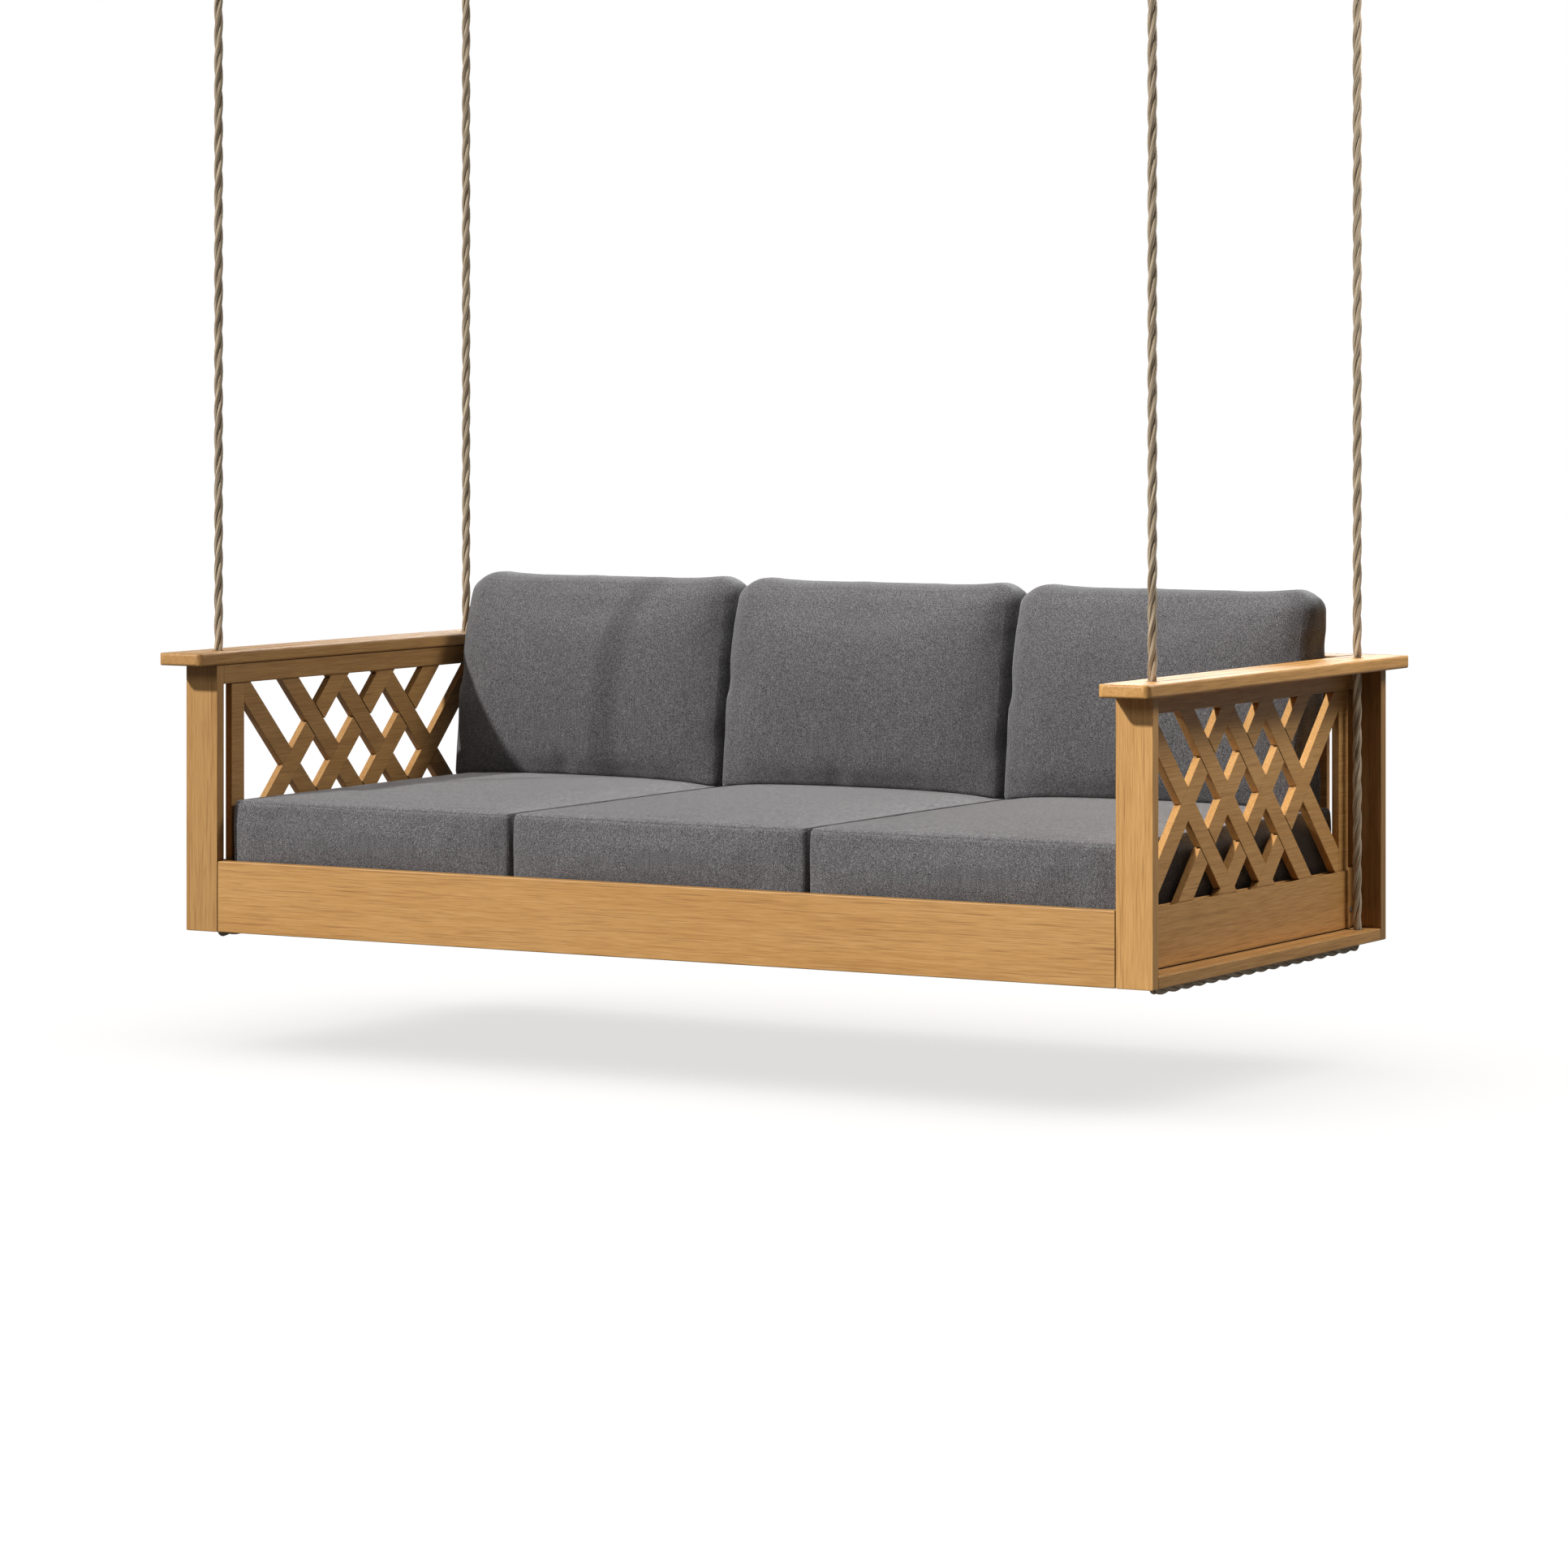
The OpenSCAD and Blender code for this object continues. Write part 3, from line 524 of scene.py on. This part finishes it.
# ---------- Cushion forms ----------
CLOTH_STEP, FINE_STEP = 0.014, 0.008       # mesh sizes of the simulated and the final cloth
CLOTH_FRAMES, CLOTH_PRESSURE = 20, 4
CLOTH_CAP = 0.012              # the furthest that the simulation may move the cloth
SEAM_NEAR = (0.0011, 0.0024, 0.0045, 0.009)    # mesh lines beside an edge, for its seam
SEAM_WIDTH, SEAM_DEPTH = 0.0017, 0.0013
NO_SEAM = 0.05                 # a distance at which a seam does nothing
ON_FACE = 0.999                # of a block's half size: on the face itself
SIDE_SPARE = 0.0012            # how far a back cushion may swell past its block on each side


def places(half, step, near):
    """Grid places along one axis of a block, closer together beside its edges."""
    inner = half - near[-1] if near else half
    middle = np.linspace(-inner, inner, max(2, round(2 * inner / step)) + 1)
    edge = np.array([half - n for n in (0, *near[:-1])]) if near else np.array([])
    return np.concatenate([-edge, middle, edge[::-1]])


def block(half, step, near=()):
    """Points on a box's six faces, and the quads between them."""
    grids = [places(h, step, near) for h in half]
    counts = [len(g) - 1 for g in grids]
    index, verts, faces = {}, [], []
    for axis in range(3):
        u, v = [a for a in range(3) if a != axis]
        for end in (0, counts[axis]):
            for i in range(counts[u]):
                for j in range(counts[v]):
                    corners = []
                    for a, b in ((i, j), (i + 1, j), (i + 1, j + 1), (i, j + 1)):
                        key = [0, 0, 0]
                        key[axis], key[u], key[v] = end, a, b
                        key = tuple(key)
                        if key not in index:
                            index[key] = len(verts)
                            verts.append([g[n] for g, n in zip(grids, key)])
                        corners.append(index[key])
                    flip = (end > 0) == (axis == 1)
                    faces.append(corners[::-1] if flip else corners)
    return np.array(verts), faces


def rounded(points, half, radii):
    """Rounds a box's edges and corners, with a radius for each axis and each point."""
    r = np.broadcast_to(radii, points.shape)
    inner = np.clip(points, r - half, half - r)
    away = (points - inner) / r
    size = np.maximum(np.linalg.norm(away, axis=1, keepdims=True), 1e-9)
    return inner + away / size * r


def swollen(half, radii, shape, sewn, stiff):
    """Cloth that air pressure blows up from a slightly smaller block, held at those of its
    edges that are sewn. Gives its points at rest and how far each has moved."""
    box, faces = block(half, CLOTH_STEP)
    rest = shape(rounded(box, half, radii(box)))
    obj = new_object("cloth_try", rest, faces)
    edges = ((np.abs(np.abs(box) - half) < 1e-6).sum(axis=1) >= 2) & sewn(box)
    group = obj.vertex_groups.new(name="seams")
    group.add([int(i) for i in np.nonzero(edges)[0]], stiff, "REPLACE")
    cloth = obj.modifiers.new("cloth", "CLOTH").settings
    cloth.quality = 5
    cloth.mass = 0.3
    cloth.tension_stiffness = cloth.compression_stiffness = 40
    cloth.shear_stiffness = 12
    cloth.bending_stiffness = 0.6
    cloth.vertex_group_mass = "seams"
    cloth.pin_stiffness = 1
    cloth.use_pressure = True
    cloth.uniform_pressure_force = CLOTH_PRESSURE
    cloth.effector_weights.gravity = 0
    for step in range(1, CLOTH_FRAMES + 1):
        scene.frame_set(step)
    final = obj.evaluated_get(bpy.context.evaluated_depsgraph_get())
    found = np.empty(len(rest) * 3)
    final.data.vertices.foreach_get("co", found)
    moved = found.reshape(-1, 3) - rest
    scene.frame_set(1)
    bpy.data.objects.remove(obj)
    size = np.maximum(np.linalg.norm(moved, axis=1, keepdims=True), 1e-9)
    return rest, moved * np.minimum(1, CLOTH_CAP / size)


def carried(points, rest, moved, reach=0.02):
    """The movement of the cloth points that lie nearest to each point, blended."""
    tree = KDTree(len(rest))
    for i, p in enumerate(rest):
        tree.insert(p, i)
    tree.balance()
    result = np.empty_like(points)
    for i, p in enumerate(points):
        near = tree.find_n(p, 12)
        share = np.array([math.exp(-((d / reach) ** 2)) + 1e-9 for _, _, d in near])
        result[i] = (moved[[n for _, n, _ in near]] * share[:, None]).sum(axis=0) / share.sum()
    return result


def held_beside(moved, points, most):
    """Keeps a cushion from swelling sideways into its neighbours."""
    outward = np.sign(points[:, 0])
    sideways = np.minimum(moved[:, 0] * outward, most) * outward
    return np.column_stack([sideways, moved[:, 1:]])


def outward_of(*shares):
    """The way out of a block's faces, from each point's share of the half size along X, Y
    and Z."""
    ways = np.stack([share * (np.abs(share) > ON_FACE) for share in shares], axis=1)
    return ways / np.maximum(np.linalg.norm(ways, axis=1, keepdims=True), 1)


def waves(t, turns, seed):
    """A soft irregular ripple along t, about from -1 to 1, from a few fixed waves."""
    total = np.zeros_like(t)
    for k, (many, size) in enumerate(((1.0, 1.0), (1.73, 0.7), (2.61, 0.45), (0.47, 0.8))):
        total += size * np.sin(math.pi * turns * many * t + seed * (1.9 + 1.3 * k) + k)
    return total / 2.2


def bump(t, middle, width):
    """1 at the middle, falling softly to 0 on both sides."""
    return np.exp(-(((t - middle) / width) ** 2))


def fading(distance, reach):
    """1 at no distance, falling to 0 at the reach, steepest at first."""
    return (1 - distance / reach).clip(0) ** 2


def plateau(u):
    """1 over the middle of a face and 0 at its edges."""
    return (1 - np.abs(u) ** 3).clip(0)


def seam_dip(distance):
    """How far cloth sinks in at a seam, with the slight roll beside it."""
    return SEAM_DEPTH * (bump(distance, 0, SEAM_WIDTH) - 0.35 * bump(distance, 0.0055, 0.0028))


# ---------- Seat cushions ----------
SEAT_HALF = np.array([0.306, 0.4425, 0.074])
SEAT_SHRINK = np.array([0.0015, 0.006, 0.004])     # the block that swells is smaller by this
SEAT_MIDDLE_Y = -0.012
SEAT_PITCH = 0.616
SEAT_CROWN = 0.013
SEAT_EDGE = np.array([0.006, 0.012, 0.014])        # how far edges are rounded along X, Y, Z
SEAT_SIDE_EDGE = 0.20          # of that, along the sides
SEAT_STIFF = 0.35              # how firmly the seams hold the cloth
SEAT_SEAM = 0.3                # of a full seam's depth
SEAT_ROLL, SEAT_ROLL_REACH = 0.0045, 0.075         # the front turns back beside its corners
SEAT_BESIDE = 0.0022           # the most that a side swells
SEAT_LOOSE = (0.003, 0.004)    # the most that the front and the rear swell past the block
TOUCH, TOUCH_PUSH = 0.0015, 0.0022     # how far out the sides may stand, and are pushed
REAR_NARROW, REAR_FROM, REAR_REACH = 0.0029, 0.23, 0.03    # behind this Y the sides stand in


def seat_cushion():
    """The middle seat cushion: its points, its faces and the points of its top."""
    half, small = SEAT_HALF, SEAT_HALF - SEAT_SHRINK

    def crowned(points, size):
        u, v, w = (points / size).T
        points = points.copy()
        points[:, 2] += SEAT_CROWN * plateau(u) * plateau(v) * w.clip(0, 1)
        return points

    rest, moved = swollen(small, lambda box: SEAT_EDGE, lambda p: crowned(p, small),
                          lambda box: np.full(len(box), True), SEAT_STIFF)
    box, faces = block(half, FINE_STEP, SEAM_NEAR)
    u, v, w = (box / half).T
    top, side = w >= ON_FACE, np.abs(w) < ON_FACE
    ends = ((np.abs(v) - 0.8) / 0.2).clip(0, 1)    # 0 along the sides, 1 at front and rear
    edge = SEAT_EDGE * (SEAT_SIDE_EDGE + (1 - SEAT_SIDE_EDGE) * ends)[:, None]
    points = crowned(rounded(box, half - SEAT_SHRINK * 0.55, edge), half)
    from_side = (half[0] - np.abs(points[:, 0])).clip(0)
    points[:, 1] -= np.sign(points[:, 1]) * SEAT_ROLL * fading(from_side, SEAT_ROLL_REACH) * ends
    pushed = held_beside(carried(points, rest, moved), points, SEAT_BESIDE)
    pushed[top, 2] *= 0.2
    points += pushed

    # the top keeps its full crown over the seams, whatever the cloth gave
    rise = points[:, 2] - half[2]
    crown = half[2] + rise * SEAT_CROWN / max(rise.max(), 1e-6)
    points[:, 2] = np.where(rise > 0, crown, points[:, 2])

    # the seams along the upper and the lower edges, and the cloth that gathers at them
    to_rim = np.minimum(half[0] - np.abs(box[:, 0]), half[1] - np.abs(box[:, 1]))
    away = np.where(top, to_rim, half[2] - np.abs(box[:, 2]))
    away = np.where(w <= -ON_FACE, NO_SEAM, away)
    inward = np.stack([np.sign(u) * (np.abs(u) > 0.9), np.sign(v) * (np.abs(v) > 0.9), np.sign(w)],
                      axis=1)
    inward /= np.linalg.norm(inward, axis=1, keepdims=True)
    points -= inward * (seam_dip(away) * SEAT_SEAM)[:, None]
    round_way = np.where(np.abs(u) > np.abs(v), v * 2 * half[1], u * 2 * half[0])
    height = box[:, 2]
    gather = 0.0005 * waves(round_way, 19, 2.0) * bump(away, 0.016, 0.014) * (np.abs(v) > 0.9)
    slack = 0.0013 * waves(round_way, 6.5, 0.6) * bump(height, 0.020, 0.035) * side
    slanted = box[:, 0] + height * 0.8
    crease = 0.0009 * bump(slanted, 0.262, 0.010) * bump(height, 0.048, 0.026) * side
    points += outward_of(u, v, w) * (gather + slack - crease)[:, None]
    points += (0, SEAT_MIDDLE_Y, SEAT_LOW + half[2])

    # the sides lie against the next cushion, but for the rear, which is narrower, so that
    # it lifts out between the back cushions beside it
    points[:, 0] += np.sign(u) * TOUCH_PUSH * bump(np.abs(u), 1, 0.03) * (1 - ends)
    limit = half[0] + TOUCH - REAR_NARROW * ((points[:, 1] - REAR_FROM) / REAR_REACH).clip(0, 1)
    points[:, 0] = points[:, 0].clip(-limit, limit)
    front, rear = SEAT_MIDDLE_Y - half[1], SEAT_MIDDLE_Y + half[1]
    points[:, 1] = points[:, 1].clip(front - SEAT_LOOSE[0], rear + SEAT_LOOSE[1])
    points[:, 2] = points[:, 2].clip(SEAT_LOW, None)
    return points, faces, points[top]


def seat_surface(x, y, top):
    """The highest that a seat cushion's top stands near each place."""
    result = np.empty(len(x))
    few, near_by = 400, 0.010
    for start in range(0, len(x), few):
        part = slice(start, start + few)
        near = (x[part, None] - top[:, 0]) ** 2 + (y[part, None] - top[:, 1]) ** 2 < near_by ** 2
        result[part] = np.where(near, top[:, 2], SEAT_TOP - 0.002).max(axis=1)
    return result


# ---------- Back cushions ----------
# Their block lies down: X to the right, Y up and Z from the rear to the front.
BACK_HALF_X, BACK_HEIGHT, BACK_FOOT = 0.303, 0.387, 0.132
BACK_SHRINK = np.array([0.001, 0.006, 0.007])
BACK_PITCH = 0.610
BACK_REAR_Y = 0.40412
BACK_FOOT_Z = BED_Z + 0.24946
BACK_LEAN, BACK_SWEEP = 0.15, 0.055        # how the rear leans, and how far the front sweeps back
BACK_CROWN = 0.014
BACK_LOW_EDGE, BACK_HIGH_EDGE = np.array([0.022, 0.016, 0.022]), np.array([0.050, 0.036, 0.054])
BACK_STIFF = 0.25
BACK_SIDE_ROLL, BACK_SIDE_REACH = 0.006, 0.100     # the front turns back beside its edges
BACK_TOP_ROLL, BACK_TOP_REACH = 0.004, 0.090
BACK_EAR = 0.0048              # how far the upper corners stand up
BACK_DROP = 0.002              # how far the whole form stands lower than its block
BACK_BESIDE = 0.0020           # the most that a side swells
BACK_SINK, BACK_SINK_REACH = 0.018, 0.14   # how far the foot sinks, and the height that gives
CLEAR = 0.0004                 # left between its foot and the seat cushions


def back_cushion():
    """The middle back cushion before it settles: its points and faces."""
    half = np.array([BACK_HALF_X, BACK_HEIGHT / 2, BACK_FOOT / 2])
    small = half - BACK_SHRINK

    def radii(box):
        share = ((box[:, 1:2] / half[1] + 1) / 2).clip(0, 1)
        return BACK_LOW_EDGE + (BACK_HIGH_EDGE - BACK_LOW_EDGE) * share

    def stood(points):
        """Crowns the front of a lying block and stands it up at its place."""
        u, v, w = (points / half).T
        up = points[:, 1] + half[1]
        roll = (BACK_SIDE_ROLL * fading((1 - np.abs(u)) * half[0], BACK_SIDE_REACH)
                + BACK_TOP_ROLL * fading((1 - v) * half[1], BACK_TOP_REACH))
        crown = BACK_CROWN * (1 - u * u).clip(0) * (1 - v * v).clip(0)
        thick = points[:, 2] + half[2] + (crown - roll) * w.clip(0, 1)
        rear = BACK_REAR_Y + BACK_LEAN * up
        front = BACK_REAR_Y - BACK_FOOT + BACK_SWEEP * (up / BACK_HEIGHT) ** 2
        ears = bump(np.abs(u), 0.84, 0.13) * (up / BACK_HEIGHT).clip(0, 1) ** 4
        return np.stack([points[:, 0], rear + (front - rear) * thick / BACK_FOOT,
                         BACK_FOOT_Z + up + BACK_EAR * ears - BACK_DROP], axis=1)

    rest, moved = swollen(small, radii, stood,
                          lambda box: (box[:, 2] < 0) | (box[:, 1] < 1e-6 - small[1]), BACK_STIFF)
    box, faces = block(half, FINE_STEP, SEAM_NEAR)
    u, v, w = (box / half).T
    points = stood(rounded(box, half - BACK_SHRINK * 0.5, radii(box)))
    pushed = held_beside(carried(points, rest, moved), points, BACK_BESIDE)
    points += pushed * ((1 - np.abs(u) ** 4) * (1 - v.clip(0) ** 4))[:, None]

    # slack cloth at the foot, the head and the flanks, and soft folds over the front
    outward = outward_of(u, -w, v)
    face = np.abs(w) > ON_FACE
    x, z = box[:, 0], box[:, 1] + half[1]
    up = (v + 1) / 2
    foot = 0.0013 * waves(x, 17, 3.1) * bump(z, 0.030, 0.055)
    head = 0.0008 * waves(x, 15, 5.3) * bump(z, BACK_HEIGHT - 0.02, 0.035)
    flank = 0.0008 * waves(z, 13, 1.0) * bump(np.abs(u), 1, 0.16)
    swell = 0.0030 * waves(x + 0.30 * z, 5.2, 2.2) * bump(up, 0.60, 0.42)
    points += outward * (foot * face + head + flank + swell * face)[:, None]

    # the cloth puckers along the joints with the next cushions
    pucker = 0.0042 * waves(z + 0.05 * np.sign(u), 11, 1.4).clip(0) * bump(np.abs(u), 1, 0.07)
    points[:, 0] -= np.sign(u) * pucker * bump(up, 0.5, 0.45)

    # seams run round the rear panel alone
    to_rim = np.minimum(half[0] - np.abs(x), half[1] - np.abs(box[:, 1]))
    away = np.where(w < -ON_FACE, to_rim, box[:, 2] + half[2])
    points -= outward * seam_dip(np.where(w > ON_FACE, NO_SEAM, away))[:, None]
    points[:, 0] = points[:, 0].clip(-half[0] - SIDE_SPARE, half[0] + SIDE_SPARE)
    above_foot = points[:, 2] - BACK_FOOT_Z
    highest = above_foot[np.abs(u) < 0.5].max()
    points[:, 2] = BACK_FOOT_Z + above_foot * BACK_HEIGHT / highest
    return points, faces


def settled(points, place, top):
    """A back cushion at its place, sunk a little and pressed flat where it meets the seat
    cushions."""
    points = points + (place * BACK_PITCH, 0, 0)
    points[:, 2] -= BACK_SINK * (1 - (points[:, 2] - BACK_FOOT_Z) / BACK_SINK_REACH).clip(0, 1)
    foot = points[:, 2] < SEAT_TOP + 2 * SEAT_CROWN
    seat = np.round(points[foot, 0] / SEAT_PITCH).clip(-1, 1)
    low = seat_surface(points[foot, 0] - seat * SEAT_PITCH, points[foot, 1], top) + CLEAR
    points[foot, 2] = np.maximum(points[foot, 2], low)
    rear = BACK_REAR_Y + BACK_LEAN * (points[:, 2] - BACK_FOOT_Z)
    points[:, 1] = np.minimum(points[:, 1], rear)
    return points


# The back cushions have the seat cushions' cloth, with a lower tone as painted shade.
CLOTH = {"seat": weave("seat_cloth", 1, 0.98), "back": weave("back_cloth_shaded", 2, 0.77)}
seat_shape, seat_faces, seat_top = seat_cushion()
back_shape, back_faces = back_cushion()
cushions = []
for place_name, place in (("right", 1), ("middle", 0), ("left", -1)):
    for kind in ("seat", "back"):
        name = f"{kind}_cushion_{place_name}"
        if kind == "seat":
            points, faces = seat_shape + (place * SEAT_PITCH, 0, 0), seat_faces
        else:
            points, faces = settled(back_shape, place, seat_top), back_faces
        cushion = new_object(f"{kind}_pad_{place_name}", points, faces)
        dress(cushion, CLOTH[kind])
        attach(cushion, name)
        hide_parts(name)
        cushions.append(cushion)


# ---------- Floor and room ----------
FLOOR_Z = -2.218
FLOOR_HALF = 30
FLOOR_COLOUR = (0.50, 0.505, 0.51)
FLOOR_BOUNCE = 0.25            # how much of its light the floor throws back on the object
FLOOR_SHADED = 0.725           # how bright the floor stays where the bed shades it
MIRRORED_ROOM = 0.4            # how bright the room is in reflections
ROOM_LIGHT = 0.03              # how much the room itself lights the object
ROOM_COLOUR = (1, 0.99, 0.98, 1)


def backdrop_rays(n):
    """1 for rays that show the background itself, less for reflections of it, and 0 for
    those that light the object."""
    path = n.node("LightPath")
    mirrored = n.times((path, "Is Glossy Ray"), MIRRORED_ROOM)
    seen = n.math("MAXIMUM", (path, "Is Camera Ray"), mirrored)
    return n.math("MAXIMUM", seen, (path, "Is Transmission Ray"))


def floor_material():
    material = new_material("floor_paint")
    n = Nodes(material.node_tree)
    matt, glow, both = n.node("BsdfDiffuse"), n.node("Emission"), n.node("AddShader")
    dim = [c * FLOOR_BOUNCE for c in FLOOR_COLOUR]
    n.feed(n.mix(backdrop_rays(n), dim, FLOOR_COLOUR), matt, "Color")
    n.feed(ROOM_COLOUR, glow, "Color")
    n.feed(n.times(backdrop_rays(n), FLOOR_SHADED), glow, "Strength")
    n.feed((matt, "BSDF"), both, 0)
    n.feed((glow, "Emission"), both, 1)
    n.feed((both, "Shader"), n.node("OutputMaterial"), "Surface")
    return material


floor = new_object("floor", [(FLOOR_HALF * i, FLOOR_HALF * j, FLOOR_Z)
                             for i, j in ((-1, -1), (1, -1), (1, 1), (-1, 1))],
                   [(0, 1, 2, 3)], smooth=False)
dress(floor, floor_material())

world = bpy.data.worlds.new("studio")
scene.world = world
world.use_nodes = True
room = Nodes(world.node_tree)
pick = room.node("MixShader")
room.feed(backdrop_rays(room), pick, 0)
for into, colour, strength in ((1, ROOM_COLOUR, ROOM_LIGHT), (2, (1, 1, 1, 1), 1.0)):
    background = room.node("Background")
    room.feed(colour, background, "Color")
    room.feed(strength, background, "Strength")
    room.feed((background, "Background"), pick, into)
room.feed((pick, "Shader"), room.node("OutputWorld"), "Surface")


# ---------- Light ----------
def lamp(name, kind, energy, location, towards, **values):
    data = bpy.data.lights.new(name, kind)
    data.energy = energy
    for key, value in values.items():
        setattr(data, key, value)
    obj = bpy.data.objects.new(name, data)
    obj.location = location
    obj.rotation_euler = (Vector(towards) - Vector(location)).to_track_quat("-Z", "Y").to_euler()
    obj.visible_camera = False
    scene.collection.objects.link(obj)
    return obj


def panel(name, energy, location, towards, size, **values):
    """A lamp with a rectangular face."""
    return lamp(name, "AREA", energy, location, towards, shape="RECTANGLE", size=size[0],
                size_y=size[1], **values)


def lit(lamps, objects, state="INCLUDE"):
    """Links the lamps to the objects alone, or to everything but them."""
    receivers = bpy.data.collections.new(f"{lamps[0].name}_receivers")
    for obj in objects:
        receivers.objects.link(obj)
    for light in lamps:
        light.light_linking.receiver_collection = receivers
    for entry in receivers.collection_objects:
        entry.light_linking.link_state = state


KEY_WAY = Vector((0.37, 0.60, -0.52))
middle = Vector((0, 0, -1.7))
key = lamp("key", "SUN", 3.55, middle - 4 * KEY_WAY, middle, angle=math.radians(3.2))
front = panel("front", 66, (-1.2, -6.2, 1.2), (0, 0, -1.7), (2.0, 1.5))
back = panel("back", 130, (-1.9, 4.4, 0.3), (0, 0, -1.6), (3.2, 1.2), specular_factor=0.08)
fill = panel("fill", 56, (2.4, 1.0, 0.4), (0.8, 0.0, -1.8), (1.0, 1.0))
top = panel("top", 95, (0.2, 0.35, 1.6), (0.1, 0.1, -1.75), (2.4, 1.2))
low = panel("low", 16, (3.4, -2.0, -2.15), (0.97, 0, -2.0), (1.4, 0.2))
above = lamp("above_floor", "SUN", 1.86, (0, 0, 1), (0, 0, 0), angle=math.radians(100))

# The floor takes its light from straight above alone, so that it is even but for the soft
# shadow under the bed. The fill is for the frame and the ropes, the top lamp for the
# cushions, and the low lamp for the ropes, most of all those under the frame.
lit([above], [floor])
lit([key, front, back], [floor], "EXCLUDE")
lit([fill], [floor, *cushions], "EXCLUDE")
lit([top], cushions)
lit([low], rope_objects)

scene.view_settings.view_transform = "Standard"
